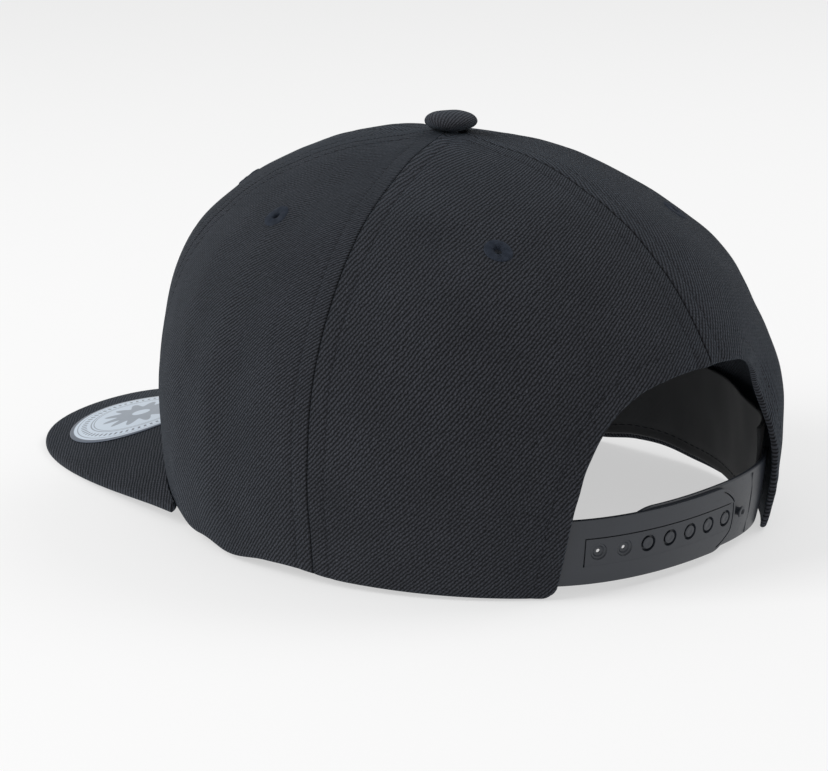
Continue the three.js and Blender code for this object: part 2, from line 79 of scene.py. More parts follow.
def rolled(distance: Array, radius: float) -> Array:
    """Returns how far a rounded edge of that radius drops at a distance from the edge."""
    inside = np.clip(radius - distance, 0.0, radius)
    return radius - np.sqrt(radius * radius - inside * inside)


def graded(length: float, start: Sequence[float], end: Sequence[float], step: float) -> Array:
    """Shares of a length, close together at its ends.

    Args:
        length: the length in millimetres.
        start: distances from the start that get a line of their own.
        end: distances from the end that get one.
        step: spacing in between.

    Returns:
        Rising shares from 0 to 1.
    """
    low, high = start[-1], length - end[-1]
    count = max(2, round((high - low) / step))
    middle = np.linspace(low, high, count + 1)
    marks = np.concatenate([np.array(start[:-1]), middle, length - np.array(end[-2::-1])])
    return marks / length


def waviness(points: Array, scale: float, seed: float) -> Array:
    """Returns smooth noise of about -1 to 1 at points, with lumps of the given size."""
    flat = points.reshape(-1, 3) / scale + seed
    values = [noise.noise(Vector(p)) for p in flat]
    return np.array(values).reshape(points.shape[:-1])


class Hand(Enum):
    """The wearer's side."""

    LEFT = "left"
    RIGHT = "right"


@dataclass(frozen=True)
class Placement:
    """How the cap's own frame lies on the ground."""

    tilt: float = -2.0369795
    offset: tuple[float, float, float] = (0.131756, 36.659138, 3.195006)

    def turn(self) -> Matrix:
        """Returns the tilt as a rotation."""
        return Matrix.Rotation(math.radians(self.tilt), 3, "X")

    def seat(self, points: Array) -> Array:
        """Returns points of the cap's frame, in metres on the ground."""
        return (points @ np.array(self.turn()).T + np.array(self.offset)) * MM


PLACE = Placement()


# The crown's form, as the solids have it


@dataclass(frozen=True)
class Fold:
    """A soft dent or swelling of the crown."""

    angle: float
    rise: float
    out: float
    across: float
    along: float


@dataclass(frozen=True)
class CrownShape:
    """The crown's smooth outer face."""

    rim_length: float = 203.2
    rim_width: float = 175.9
    height: float = 117.9
    top_forward: float = 6.7
    cloth: float = 1.8
    swell: float = 0.05
    dips: tuple[tuple[float, float, float], ...] = (
        (57.5, 77.5, 1.3),
        (70.5, 90.5, 2.1),
        (86.0, 108.0, -0.9),
    )
    rim_blend: float = 10.0
    rise_spacing: float = 1.75
    across_front: float = 2.14
    across_side: float = 1.84
    across_back: float = 2.05
    up_front: float = 3.77
    up_back: float = 3.15
    visor_length: float = 72.6
    visor_span: float = 57.5
    visor_thickness: float = 2.9
    visor_root: float = 10.3
    visor_fall: float = 14.3
    visor_arch: float = 17.6
    folds: tuple[Fold, ...] = (
        Fold(217, 0.32, 1.2, 8, 0.15),
        Fold(232, 0.24, -1.2, 7, 0.16),
        Fold(201, 0.33, -4.2, 8, 0.1),
        Fold(218, 0.64, -1.2, 17, 0.2),
        Fold(230, 0.56, 2.0, 10, 0.09),
        Fold(50, 0.38, -0.8, 12, 0.22),
        Fold(30, 0.5, 1.3, 14, 0.13),
        Fold(70, 0.36, -0.9, 5, 0.2),
        Fold(84, 0.3, -0.8, 6, 0.24),
        Fold(128, 0.34, 0.8, 12, 0.2),
    )

    def rim(self, angle: Array) -> Array:
        """Returns the plan of the rim's outer edge."""
        a = np.radians(angle)
        x = self.rim_width / 2 * np.sin(a)
        return np.stack([x, -self.rim_length / 2 * np.cos(a)], axis=-1)

    def visor_middle(self, x: Array, y: Array) -> Array:
        """Returns the height of the visor's middle surface."""
        forward = -y - self.rim_length / 2
        half = self.rim_width / 2 * math.sin(math.radians(self.visor_span))
        fall = self.visor_fall * forward / self.visor_length
        return self.visor_root - fall - self.visor_arch * (x / half) ** 2

    def rim_height(self, angle: Array) -> Array:
        """Returns the height of the crown's lower edge."""
        turn = np.abs(np.where(angle > 180, angle - 360, angle))
        place = self.rim(np.minimum(turn, self.visor_span))
        under = self.visor_middle(place[..., 0], place[..., 1]) - self.visor_thickness / 2
        past = (turn - self.visor_span) / self.rim_blend
        height = under * (1 - ease(past))
        for start, end, depth in self.dips:
            share = np.clip((turn - start) / (end - start), 0, 1)
            height = height - depth * np.sin(np.pi * share) ** 2
        return height

    def up_power(self, angle: Array) -> Array:
        """Returns the power that squares the profile at an angle."""
        share = (1 - np.cos(np.radians(angle))) / 2
        return 2 / (self.up_front + (self.up_back - self.up_front) * share)

    def smooth(self, angle: Array, rise: Array) -> Array:
        """Returns points of the face, with rise from 0 at the rim to 1 at the top."""
        a = np.radians(angle)
        lengthways = np.cos(a) ** 2
        end = np.where(np.cos(a) > 0, self.across_front, self.across_back)
        across = self.across_side + (end - self.across_side) * lengthways
        climb = np.pi / 2 * np.clip(rise, 0, 1) ** self.rise_spacing
        up = np.sin(climb) ** self.up_power(angle)
        swell = 1 + self.swell * np.sin(np.pi * up**0.8)
        reach = np.maximum(np.cos(climb), 0) ** (2 / across) * swell
        rim, low = self.rim(angle), self.rim_height(angle)
        y = -self.top_forward + (rim[..., 1] + self.top_forward) * reach
        return np.stack([rim[..., 0] * reach, y, low + (self.height - low) * up], axis=-1)

    def rise_at(self, angle: Array, height: Array) -> Array:
        """Returns the rise at which the face reaches a height."""
        low = self.rim_height(angle)
        up = np.clip((height - low) / (self.height - low), 0, 1)
        climb = np.arcsin(up ** (1 / self.up_power(angle)))
        return (climb / (np.pi / 2)) ** (1 / self.rise_spacing)

    def normal(self, angle: Array, rise: Array) -> Array:
        """Returns the outward direction of the face."""
        turn, step = 0.5, 0.004
        low = np.clip(rise - step, 0.0005, 1 - 3 * step)
        middle = low + step
        across = self.smooth(angle + turn, middle) - self.smooth(angle - turn, middle)
        up = self.smooth(angle, low + 2 * step) - self.smooth(angle, low)
        out = np.cross(across, up)
        return out / np.linalg.norm(out, axis=-1, keepdims=True)

    def fold_out(self, angle: Array, rise: Array) -> Array:
        """Returns how far the soft folds stand out."""
        out = np.zeros(np.broadcast(angle, rise).shape)
        for fold in self.folds:
            out += fold.out * bell(angle, fold.angle, fold.across) * bell(rise, fold.rise, fold.along)
        return out

    def point(self, angle: Array, rise: Array, depth: Array) -> Array:
        """Returns points a depth under the folded face."""
        out = self.fold_out(angle, rise) - depth
        return self.smooth(angle, rise) + self.normal(angle, rise) * out[..., None]

    def per_degree(self, angle: Array, rise: Array) -> Array:
        """Returns how many millimetres of cloth a degree takes round the crown."""
        gap = self.smooth(angle + 0.5, rise) - self.smooth(angle - 0.5, rise)
        return np.maximum(np.linalg.norm(gap, axis=-1), 0.02)

    def aside(self, distance: Array, height: Array) -> Array:
        """Returns the angle from the back seam at which the face stands a distance aside."""
        near = np.zeros(np.broadcast(distance, height).shape)
        far = near + 75.0
        for _ in range(32):
            middle = (near + far) / 2
            reach = np.abs(self.smooth(180 - middle, self.rise_at(180 - middle, height))[..., 0])
            near = np.where(reach < distance, middle, near)
            far = np.where(reach < distance, far, middle)
        return (near + far) / 2


@dataclass(frozen=True)
class ArchedGap:
    """The outline of the gap over the strap, each foot at its own distance."""

    height: float = 63.0
    foot: dict[Hand, float] = field(default_factory=lambda: {Hand.LEFT: 50.0, Hand.RIGHT: 41.0})
    squareness: float = 2.95
    corner: float = 4.0

    def edge(self, share: Array, hand: Hand) -> tuple[Array, Array]:
        """Returns half the gap's width and its height, from its foot (0) to its top (1)."""
        turn = np.pi / 2 * share
        power = 2 / self.squareness
        half = self.foot[hand] * np.maximum(np.cos(turn), 0) ** power
        return half, self.height * np.sin(turn) ** power


class Track:
    """A line through the cloth, such as a seam, that distances are measured from."""

    def __init__(self, points: Array) -> None:
        """Keeps the points and how far along each one lies."""
        self.points = points
        gaps = np.linalg.norm(np.diff(points, axis=0), axis=1)
        self.along = np.concatenate([[0.0], np.cumsum(gaps)])

    def measure(self, points: Array) -> tuple[Array, Array]:
        """Returns each point's distance from the line, and how far along it lies."""
        flat = points.reshape(-1, 3)
        squares = (self.points**2).sum(1)[None] - 2 * flat @ self.points.T
        near = squares.argmin(1)
        best = np.full(len(flat), np.inf)
        place = np.zeros(len(flat))
        for shift in (-1, 0):
            first = np.clip(near + shift, 0, len(self.points) - 2)
            start, step = self.points[first], self.points[first + 1] - self.points[first]
            length = np.maximum((step**2).sum(1), 1e-12)
            share = np.clip(((flat - start) * step).sum(1) / length, 0, 1)
            gap = np.linalg.norm(flat - start - step * share[:, None], axis=1)
            closer = gap < best
            best = np.where(closer, gap, best)
            place = np.where(closer, self.along[first] + share * np.sqrt(length), place)
        return best.reshape(points.shape[:-1]), place.reshape(points.shape[:-1])

    def spaced(self, pitch: float, inset: float = 0.0) -> Array:
        """Returns the distances along the line of points a pitch apart."""
        room = self.along[-1] - 2 * inset
        count = max(1, int(room / pitch))
        return inset + (room - count * pitch) / 2 + pitch * (np.arange(count) + 0.5)

    def at(self, along: Array, values: Array | None = None) -> Array:
        """Returns the line's points, or other values kept per point, at distances along it."""
        table = self.points if values is None else values
        return np.stack([np.interp(along, self.along, row) for row in table.T], axis=-1)


# Mesh helpers


def mesh_object(bm: bmesh.types.BMesh, name: str, finish: bpy.types.Material) -> bpy.types.Object:
    """Makes a smooth-shaded object of a bmesh that is already in metres on the ground.

    Args:
        bm: the mesh, which is freed.
        name: the piece's name.
        finish: its material.

    Returns:
        The linked object.
    """
    mesh = bpy.data.meshes.new(name)
    for face in bm.faces:
        face.smooth = True
    bm.to_mesh(mesh)
    bm.free()
    mesh.materials.append(finish)
    made = bpy.data.objects.new(name, mesh)
    bpy.context.scene.collection.objects.link(made)
    return made


def settle(bm: bmesh.types.BMesh) -> None:
    """Seats a mesh made in the cap's frame on the ground."""
    for vert in bm.verts:
        vert.co = PLACE.turn() @ vert.co
    for vert in bm.verts:
        vert.co = (vert.co + Vector(PLACE.offset)) * MM


def sharpen(bm: bmesh.types.BMesh, degrees: float) -> None:
    """Marks the edges that turn by more than an angle as sharp."""
    limit = math.radians(degrees)
    for edge in bm.edges:
        if len(edge.link_faces) == 2 and edge.calc_face_angle(0.0) > limit:
            edge.smooth = False


def turned(profile: Sequence[tuple[float, float]], sides: int) -> bmesh.types.BMesh:
    """Spins a profile about +Z.

    Args:
        profile: radius and height pairs; ends on the axis are merged into a pole.
        sides: how many steps the full turn has.

    Returns:
        The turned body with outward faces.
    """
    bm = bmesh.new()
    verts = [bm.verts.new((radius, 0.0, height)) for radius, height in profile]
    edges = [bm.edges.new(pair) for pair in zip(verts, verts[1:])]
    bmesh.ops.spin(
        bm, geom=verts + edges, cent=(0, 0, 0), axis=(0, 0, 1), angle=math.tau,
        steps=sides, use_merge=True, use_duplicate=False,
    )
    bmesh.ops.remove_doubles(bm, verts=bm.verts[:], dist=1e-4)
    bmesh.ops.recalc_face_normals(bm, faces=bm.faces[:])
    return bm


def gridded(rows: int, columns: int) -> tuple[bmesh.types.BMesh, GridPlaces]:
    """Makes a flat grid that is to be shaped.

    Args:
        rows: how many rows of vertices it has.
        columns: how many vertices a row has.

    Returns:
        The grid, and the row and column of each vertex in order of their indices.
    """
    bm = bmesh.new()
    bmesh.ops.create_grid(bm, x_segments=columns - 1, y_segments=rows - 1, size=1.0)
    bm.verts.index_update()
    places = []
    for vert in bm.verts:
        row = round((vert.co.y + 1) / 2 * (rows - 1))
        places.append((row, round((vert.co.x + 1) / 2 * (columns - 1))))
    return bm, places


def block(middle: Sequence[float], size: Sequence[float]) -> bmesh.types.BMesh:
    """Returns a box by its middle and its size."""
    bm = bmesh.new()
    matrix = Matrix.Translation(middle) @ Matrix.Diagonal((*size, 1))
    bmesh.ops.create_cube(bm, size=1.0, matrix=matrix)
    return bm


def soften(bm: bmesh.types.BMesh, edges: Sequence[bmesh.types.BMEdge], offset: float, steps: int) -> None:
    """Rounds edges of a mesh."""
    bmesh.ops.bevel(
        bm, geom=list(edges), offset=offset, offset_type="OFFSET", segments=steps,
        profile=0.5, affect="EDGES", material=-1, clamp_overlap=True,
    )


def lay_map(
    bm: bmesh.types.BMesh, name: str, place: Callable[[bmesh.types.BMVert], Sequence[float]]
) -> None:
    """Writes a map of a mesh, kept in metres, from each vertex's place in it in millimetres."""
    layer = bm.loops.layers.uv.new(name)
    for face in bm.faces:
        for loop in face.loops:
            x, y = place(loop.vert)
            loop[layer].uv = (x * MM, y * MM)


def outwards(bm: bmesh.types.BMesh) -> None:
    """Turns a closed wall's faces outwards."""
    bm.normal_update()
    if bm.calc_volume(signed=True) < 0:
        bmesh.ops.reverse_faces(bm, faces=bm.faces[:])


def shell(
    outer: Array, inner: Array, maps: dict[str, Array], hole: Array | None = None
) -> bmesh.types.BMesh:
    """A closed wall between two faces that share a grid of rows and columns.

    Args:
        outer: rows x columns x 3 points of the face that looks outwards.
        inner: the same for the face behind it.
        maps: for each map by name, rows x columns x 2 coordinates.
        hole: rows x columns flags of the points that are left out.

    Returns:
        The closed wall, in the frame of the points.
    """
    rows, columns = outer.shape[:2]
    bm, spots = gridded(rows, columns)
    for name, table in maps.items():
        lay_map(bm, name, lambda vert, values=table: values[spots[vert.index]])
    place = bm.verts.layers.int.new("place")
    for vert in bm.verts:
        row, column = spots[vert.index]
        vert[place] = row * columns + column
    if hole is not None:
        gone = [vert for vert in bm.verts if hole.flat[vert[place]]]
        bmesh.ops.delete(bm, geom=gone, context="VERTS")
    front = set(bm.verts)
    bmesh.ops.solidify(bm, geom=bm.faces[:], thickness=0.01)
    faces = (outer.reshape(-1, 3), inner.reshape(-1, 3))
    for vert in bm.verts:
        vert.co = faces[0 if vert in front else 1][vert[place]]
    bm.verts.layers.int.remove(place)
    outwards(bm)
    return bm


@dataclass(frozen=True)
class Stitch:
    """One stitch of a row, a short thread sunk into the cloth."""

    pitch: float = 3.0
    length: float = 2.2
    width: float = 0.42
    height: float = 0.26

    def sew(self, bm: bmesh.types.BMesh, points: Array, outward: Array, along: Array) -> None:
        """Adds a stitch at each point.

        Args:
            bm: the mesh that gets them.
            points: the middles of the stitches.
            outward: the cloth's direction at each of them.
            along: the row's direction at each of them.
        """
        size = Matrix.Diagonal((self.length / 2, self.width / 2, self.height / 2, 1.0))
        for point, out, ahead in zip(points, outward, along):
            up = Vector(out).normalized()
            side = up.cross(Vector(ahead)).normalized()
            turn = Matrix((side.cross(up), side, up)).transposed().to_4x4()
            matrix = Matrix.Translation(Vector(point)) @ turn @ size
            bmesh.ops.create_uvsphere(bm, u_segments=8, v_segments=5, radius=1.0, matrix=matrix)

    def follow(self, bm: bmesh.types.BMesh, points: Array, outward: Array, inset: float) -> None:
        """Sews a row along a line of points, leaving an inset at both ends."""
        line = Track(points)
        if line.along[-1] < 2 * inset + self.pitch:
            return
        along = line.spaced(self.pitch, inset)
        ahead = line.at(along + 0.3) - line.at(along - 0.3)
        self.sew(bm, line.at(along), line.at(along, outward), ahead)


# Shader maths


class Value:
    """A socket that holds numbers; arithmetic on it adds Math nodes."""

    def __init__(self, recipe: "Recipe", socket: bpy.types.NodeSocket) -> None:
        """Wraps a socket of a recipe's node tree."""
        self.recipe = recipe
        self.socket = socket

    def math(self, operation: str, *others: "Value | float", swapped: bool = False) -> "Value":
        """Returns the result of a Math node on this value and others."""
        node = self.recipe.node("ShaderNodeMath", {"operation": operation})
        values = [self, *others]
        if swapped:
            values.reverse()
        for socket, value in zip(node.inputs, values):
            self.recipe.feed(socket, value)
        return Value(self.recipe, node.outputs[0])

    def __add__(self, other: "Value | float") -> "Value":
        """Returns the sum."""
        return self.math("ADD", other)

    __radd__ = __add__

    def __sub__(self, other: "Value | float") -> "Value":
        """Returns the difference."""
        return self.math("SUBTRACT", other)

    def __rsub__(self, other: float) -> "Value":
        """Returns the difference from a number."""
        return self.math("SUBTRACT", other, swapped=True)

    def __mul__(self, other: "Value | float") -> "Value":
        """Returns the product."""
        return self.math("MULTIPLY", other)

    __rmul__ = __mul__

    def __truediv__(self, other: "Value | float") -> "Value":
        """Returns the quotient."""
        return self.math("DIVIDE", other)

    def __pow__(self, other: float) -> "Value":
        """Returns the power."""
        return self.math("POWER", other)

    def wave(self) -> "Value":
        """Returns a wave from 0 to 1 that peaks at each whole number."""
        return (self * math.tau).math("COSINE") * 0.5 + 0.5

    def floor(self) -> "Value":
        """Returns the whole number below."""
        return self.math("FLOOR")

    def least(self, other: "Value | float") -> "Value":
        """Returns the smaller of two values."""
        return self.math("MINIMUM", other)

    def most(self, other: "Value | float") -> "Value":
        """Returns the larger of two values."""
        return self.math("MAXIMUM", other)

    def bell(self, middle: float, width: float) -> "Value":
        """Returns a bell curve round a middle."""
        share = (self - middle) / width
        return (share * share * -1.0).math("EXPONENT")

    def step(self, low: float, high: float) -> "Value":
        """Returns the smooth step from 0 at low to 1 at high."""
        node = self.recipe.node(
            "ShaderNodeMapRange",
            {"interpolation_type": "SMOOTHSTEP", "clamp": True},
            {"Value": self, "From Min": low, "From Max": high},
        )
        return Value(self.recipe, node.outputs["Result"])


Colour = tuple[float, float, float, float]


def grey(red: float, green: float, blue: float) -> Colour:
    """Returns a colour with full alpha."""
    return (red, green, blue, 1.0)


class Recipe:
    """The node tree of one finish."""

    def __init__(self, name: str) -> None:
        """Makes an empty material."""
        self.material = bpy.data.materials.new(name)
        self.material.use_nodes = True
        self.tree = self.material.node_tree
        self.tree.nodes.clear()

    def feed(self, socket: bpy.types.NodeSocket, value: object) -> None:
        """Links a value or socket to a socket, or sets its number."""
        if isinstance(value, Value):
            self.tree.links.new(value.socket, socket)
        elif isinstance(value, bpy.types.NodeSocket):
            self.tree.links.new(value, socket)
        else:
            socket.default_value = value

    def node(self, kind: str, settings: dict | None = None, inputs: dict | None = None) -> bpy.types.Node:
        """Adds a node.

        Args:
            kind: its type.
            settings: properties to set first.
            inputs: values or links by socket name or number.

        Returns:
            The node.
        """
        made = self.tree.nodes.new(kind)
        for name, value in (settings or {}).items():
            setattr(made, name, value)
        for name, value in (inputs or {}).items():
            self.feed(made.inputs[name], value)
        return made

    def place(self) -> bpy.types.NodeSocket:
        """Returns the object coordinates, in metres."""
        return self.node("ShaderNodeTexCoord").outputs["Object"]

    def map(self, name: str) -> tuple[Value, Value]:
        """Returns the two coordinates of one of the piece's own maps, in millimetres."""
        spot = self.node("ShaderNodeUVMap", {"uv_map": name}).outputs["UV"]
        parts = self.node("ShaderNodeSeparateXYZ", inputs={"Vector": spot})
        return Value(self, parts.outputs["X"]) / MM, Value(self, parts.outputs["Y"]) / MM

    def point(self, x: Value | float, y: Value | float, z: Value | float = 0.0) -> bpy.types.NodeSocket:
        """Returns a vector of three values."""
        node = self.node("ShaderNodeCombineXYZ", inputs={"X": x, "Y": y, "Z": z})
        return node.outputs["Vector"]

    def noise(self, vector: bpy.types.NodeSocket, scale: float, detail: float = 2.0) -> Value:
        """Returns noise of 0 to 1, with lumps of about one over the scale."""
        inputs = {"Vector": vector, "Scale": scale, "Detail": detail, "Roughness": 0.55}
        node = self.node("ShaderNodeTexNoise", {"noise_dimensions": "3D"}, inputs)
        return Value(self, node.outputs[0])

    def mix(self, share: Value | float, low: object, high: object) -> bpy.types.NodeSocket:
        """Returns a blend of two colours."""
        node = self.node("ShaderNodeMix", {"data_type": "RGBA"})
        self.feed(node.inputs["Factor"], share)
        self.feed(node.inputs[6], low)
        self.feed(node.inputs[7], high)
        return node.outputs[2]

    def bump(self, height: Value, distance: float, strength: float = 1.0) -> bpy.types.NodeSocket:
        """Returns the normal of a relief whose full height is a distance in metres."""
        inputs = {"Height": height, "Distance": distance, "Strength": strength}
        return self.node("ShaderNodeBump", inputs=inputs).outputs["Normal"]

    def finish(self, **inputs: object) -> bpy.types.Material:
        """Closes the recipe with a Principled shader whose sockets are named with underscores."""
        names = {name.replace("_", " "): value for name, value in inputs.items()}
        shader = self.node("ShaderNodeBsdfPrincipled", inputs=names)
        self.node("ShaderNodeOutputMaterial", inputs={"Surface": shader.outputs[0]})
        return self.material


@dataclass(frozen=True)
class Twill:
    """Ribbed wool-blend cloth, on the maps "cloth" (along and across the grain) and "sewn"."""

    name: str = "charcoal_twill"
    pitch: float = 1.0
    rib_angle: float = 47.0
    float_length: float = 1.35
    drift: float = 0.9
    jitter: float = 0.6
    relief: float = 0.34
    seam_shade: float = 0.5
    needle_row: float = 5.8
    needle_pitch: float = 3.0
    # valley and ridge are the dark and light ends of the cloth's colour: rib valleys get painted shade,
    # rib tops a painted highlight
    valley: Colour = grey(0.0045, 0.0048, 0.006)
    ridge: Colour = grey(0.066, 0.0695, 0.0845)
    sewn: bool = True

    def make(self) -> bpy.types.Material:
        """Returns the material."""
        r = Recipe(self.name)
        u, v = r.map("cloth")
        spot = r.point(u, v)
        drift = r.noise(spot, 0.12) - 0.5
        jitter = r.noise(spot, 0.9, 1.0) - 0.5
        turn = math.radians(self.rib_angle)
        across = (v * math.cos(turn) - u * math.sin(turn)) / self.pitch
        across = across + drift * self.drift + jitter * self.jitter
        along = (u * math.cos(turn) + v * math.sin(turn)) / self.float_length
        rib_number = (across + 0.5).floor()
        rib = across.wave() ** 0.7
        floats = (along + rib_number * 0.37 + jitter * 0.9).wave()
        fibres = r.noise(r.point(across * 2.6, along * 1.3), 1.0, 3.0)
        fuzz = r.noise(spot, 2.3, 3.0)
        height = rib * (floats * 0.3 + 0.7) + fibres * 0.35 + fuzz * 0.3
        # shade: the rib term paints shade in the valleys and a painted highlight on the rib tops; fibres,
        # fuzz and patches add random tone
        shade = rib * (floats * 0.3 + 0.7) * 0.8 + fibres * 0.45 + fuzz * 0.75 - 0.68
        patches = r.noise(spot, 0.04, 3.0)
        shade = shade * (patches * 0.7 + 0.65)
        flecks = r.noise(spot, 0.5, 1.0).step(0.7, 0.78) * fuzz.step(0.5, 0.62)
        colour = r.mix(shade.most(0.0).least(1.0), self.valley, self.ridge)
        colour = r.mix(flecks * 0.35, colour, grey(0.15, 0.16, 0.18))
        if self.sewn:
            away, pace = r.map("sewn")
            groove = away.bell(0.0, self.seam_shade)
            holes = 1.0 - (pace / self.needle_pitch).wave().step(0.1, 0.6)
            needle = away.bell(self.needle_row, 0.4) * holes
            shadow = (groove * 0.6 + needle * 0.25).least(0.8)
            colour = r.mix(shadow, colour, grey(0.003, 0.003, 0.004))
            height = height - needle * 0.5
        return r.finish(
            Base_Color=colour,
            Roughness=0.9,
            Normal=r.bump(height, self.relief * MM, 1.0),
            Specular_IOR_Level=0.2,
            Sheen_Weight=0.07,
            Sheen_Roughness=0.4,
            Sheen_Tint=grey(0.5, 0.76, 1.0),
        )


@dataclass(frozen=True)
class Thread:
    """Satin thread of stitches and eyelets."""

    name: str
    dark: Colour
    light: Colour

    def make(self) -> bpy.types.Material:
        """Returns the material."""
        r = Recipe(self.name)
        place = r.place()
        strands = r.noise(place, 2600.0, 2.0)
        patches = r.noise(place, 300.0, 2.0)
        colour = r.mix((strands * 0.7 + patches * 0.5 - 0.1).least(1.0), self.dark, self.light)
        return r.finish(
            Base_Color=colour,
            Roughness=strands * 0.2 + 0.55,
            Normal=r.bump(strands, 0.0001, 0.6),
            Specular_IOR_Level=0.15,
            Sheen_Weight=0.03,
            Sheen_Tint=grey(0.7, 0.82, 1.0),
        )


@dataclass(frozen=True)
class Moulded:
    """Semi-gloss moulded plastic of the snap strap."""

    name: str = "strap_plastic"
    low: Colour = grey(0.018, 0.0213, 0.0283)
    high: Colour = grey(0.0285, 0.0335, 0.0435)

    def make(self) -> bpy.types.Material:
        """Returns the material."""
        r = Recipe(self.name)
        place = r.place()
        flow = r.noise(place, 90.0, 3.0)
        grain = r.noise(place, 5200.0, 1.0)
        scuffs = r.noise(place, 700.0, 4.0).step(0.56, 0.72)
        colour = r.mix(flow * 0.8 + grain * 0.2, self.low, self.high)
        return r.finish(
            Base_Color=colour,
            Roughness=flow * 0.14 + scuffs * 0.1 + 0.3,
            Normal=r.bump(grain * 0.6 + flow * 0.8, 0.00003, 0.5),
            Specular_IOR_Level=0.5,
        )


@dataclass(frozen=True)
class Banding:
    """Smooth dark cotton of the sweatband, on the map "cloth"."""

    name: str = "sweatband_cotton"

    def make(self) -> bpy.types.Material:
        """Returns the material."""
        r = Recipe(self.name)
        u, v = r.map("cloth")
        threads = (u / 0.42).wave() * (v / 0.42).wave()
        patches = r.noise(r.point(u, v), 0.08, 3.0)
        share = threads * 0.5 + patches * 0.6
        colour = r.mix(share.least(1.0), grey(0.007, 0.008, 0.009), grey(0.022, 0.024, 0.028))
        return r.finish(
            Base_Color=colour,
            Roughness=0.85,
            Normal=r.bump(threads + patches * 2.0, 0.00008, 0.7),
            Sheen_Weight=0.12,
        )


@dataclass(frozen=True)
class Foil:
    """Pale foil of the sticker with plain rings and ticks, on the map "disc" in radii."""

    name: str = "sticker_foil"
    pale: Colour = grey(0.70, 0.80, 0.915)
    mid: Colour = grey(0.20, 0.235, 0.29)
    rim: Colour = grey(0.10, 0.125, 0.17)

    def make(self) -> bpy.types.Material:
        """Returns the material."""
        r = Recipe(self.name)
        x, y = r.map("disc")
        radius = (x * x + y * y).math("SQRT")
        angle = y.math("ARCTAN2", x) / math.tau
        grain = r.noise(r.point(x, y), 9.0, 3.0)
        colour = r.mix(grain.step(0.3, 0.7) * 0.25, self.pale, grey(0.65, 0.745, 0.85))
        ticks = (angle * 60.0).wave().step(0.55, 0.75) * radius.bell(0.80, 0.045).step(0.4, 0.6)
        rings = radius.bell(0.70, 0.008) + radius.bell(0.66, 0.006) + radius.bell(0.89, 0.006)
        petals = (angle * 12.0).wave() * 0.2 + 0.34
        flower = (radius / petals).step(0.97, 1.03)
        core = 1.0 - radius.step(0.12, 0.13)
        marks = (ticks + rings + (1.0 - flower) * 0.75 - core).most(0.0).least(1.0)
        colour = r.mix(marks, colour, self.mid)
        colour = r.mix(radius.step(0.935, 0.95), colour, self.rim)
        return r.finish(
            Base_Color=colour,
            Roughness=grain * 0.1 + 0.28,
            Metallic=0.15,
            Normal=r.bump(grain, 0.00002, 0.4),
            Coat_Weight=0.3,
            Coat_Roughness=0.2,
        )


@dataclass(frozen=True)
class Finishes:
    """Every material of the cap."""

    cloth: bpy.types.Material
    visor: bpy.types.Material
    button: bpy.types.Material
    stitch: bpy.types.Material
    eyelet: bpy.types.Material
    strap: bpy.types.Material
    band: bpy.types.Material
    sticker: bpy.types.Material

    @classmethod
    def made(cls) -> "Finishes":
        """Makes them all."""
        return cls(
            cloth=Twill().make(),
            visor=Twill("visor_twill", rib_angle=45.0, sewn=False).make(),
            button=Twill(
                "button_twill", pitch=0.95, rib_angle=24.0, sewn=False,
                valley=grey(0.016, 0.0168, 0.02), ridge=grey(0.08, 0.084, 0.1),
            ).make(),
            stitch=Thread("stitch_thread", grey(0.005, 0.0054, 0.007), grey(0.017, 0.018, 0.023)).make(),
            eyelet=Thread("eyelet_thread", grey(0.005, 0.0075, 0.0125), grey(0.036, 0.046, 0.068)).make(),
            strap=Moulded().make(),
            band=Banding().make(),
            sticker=Foil().make(),
        )


class Assembly:
    """A sub-assembly of the cap, whose pieces ride on its one body."""

    def seat(self, piece: bpy.types.Object, slot: str, *nodes: str) -> bpy.types.Object:
        """Lets a piece ride on the cap.

        Args:
            piece: the finished piece.
            slot: not used.
            nodes: the solids that it stands for.

        Returns:
            The piece.
        """
        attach(piece, BODY)
        if nodes:
            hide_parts(*nodes)
        log.info("%s: %d faces", piece.name, len(piece.data.polygons))
        return piece


# The crown


@dataclass(frozen=True)
class Sewing:
    """How sewing shapes the cloth near seams and free edges."""

    seam_roll: float = 0.55
    edge_roll: float = 0.8
    stitch_away: float = 5.8
    arch_stitch_away: float = 6.8
    puff: float = 0.1
    pull: float = 0.12
    pull_width: float = 0.8
    ripple: float = 0.5
    ripple_size: float = 5.0
    ripple_reach: float = 11.0
    wave: float = 0.8
    wave_size: float = 24.0
    lump: float = 0.22
    lump_size: float = 9.0

    def seam(self, away: Array) -> Array:
        """Returns the relief at a distance from a seam."""
        swell = np.sin(np.pi * np.clip(away / self.stitch_away, 0, 1)) * self.puff
        pulled = self.pull * bell(away, self.stitch_away, self.pull_width)
        return swell - rolled(away, self.seam_roll) - pulled

    def hem(self, away: Array) -> Array:
        """Returns the relief at a distance from the arched gap's edge."""
        fold = self.puff * (1 - ease(away, self.arch_stitch_away - 1.2, self.arch_stitch_away))
        return fold - self.pull * bell(away, self.arch_stitch_away, self.pull_width)

    def hem_ripple(self, points: Array, away: Array) -> Array:
        """Returns the unevenness of the hem of the arched gap."""
        near = 1 - ease(away, 0.0, self.ripple_reach)
        return waviness(points, self.ripple_size, 14.0) * self.ripple * near

    def softness(self, points: Array) -> Array:
        """Returns the faint waves and lumps of worn cloth."""
        waves = waviness(points, self.wave_size, 3.0) * self.wave
        return waves + waviness(points, self.lump_size, 8.0) * self.lump


@dataclass(frozen=True)
class PanelCut:
    """One of the crown's panels, between two seams."""

    name: str
    hand: Hand
    start: float
    end: float
    eyelet_height: float
    eyelet_share: float

    @property
    def node(self) -> str:
        """Returns the name of its solid."""
        return f"panel_{self.name}_{self.hand.value}"

    @property
    def is_back(self) -> bool:
        """Tells whether the arched gap is cut out of it."""
        return self.name == "back"


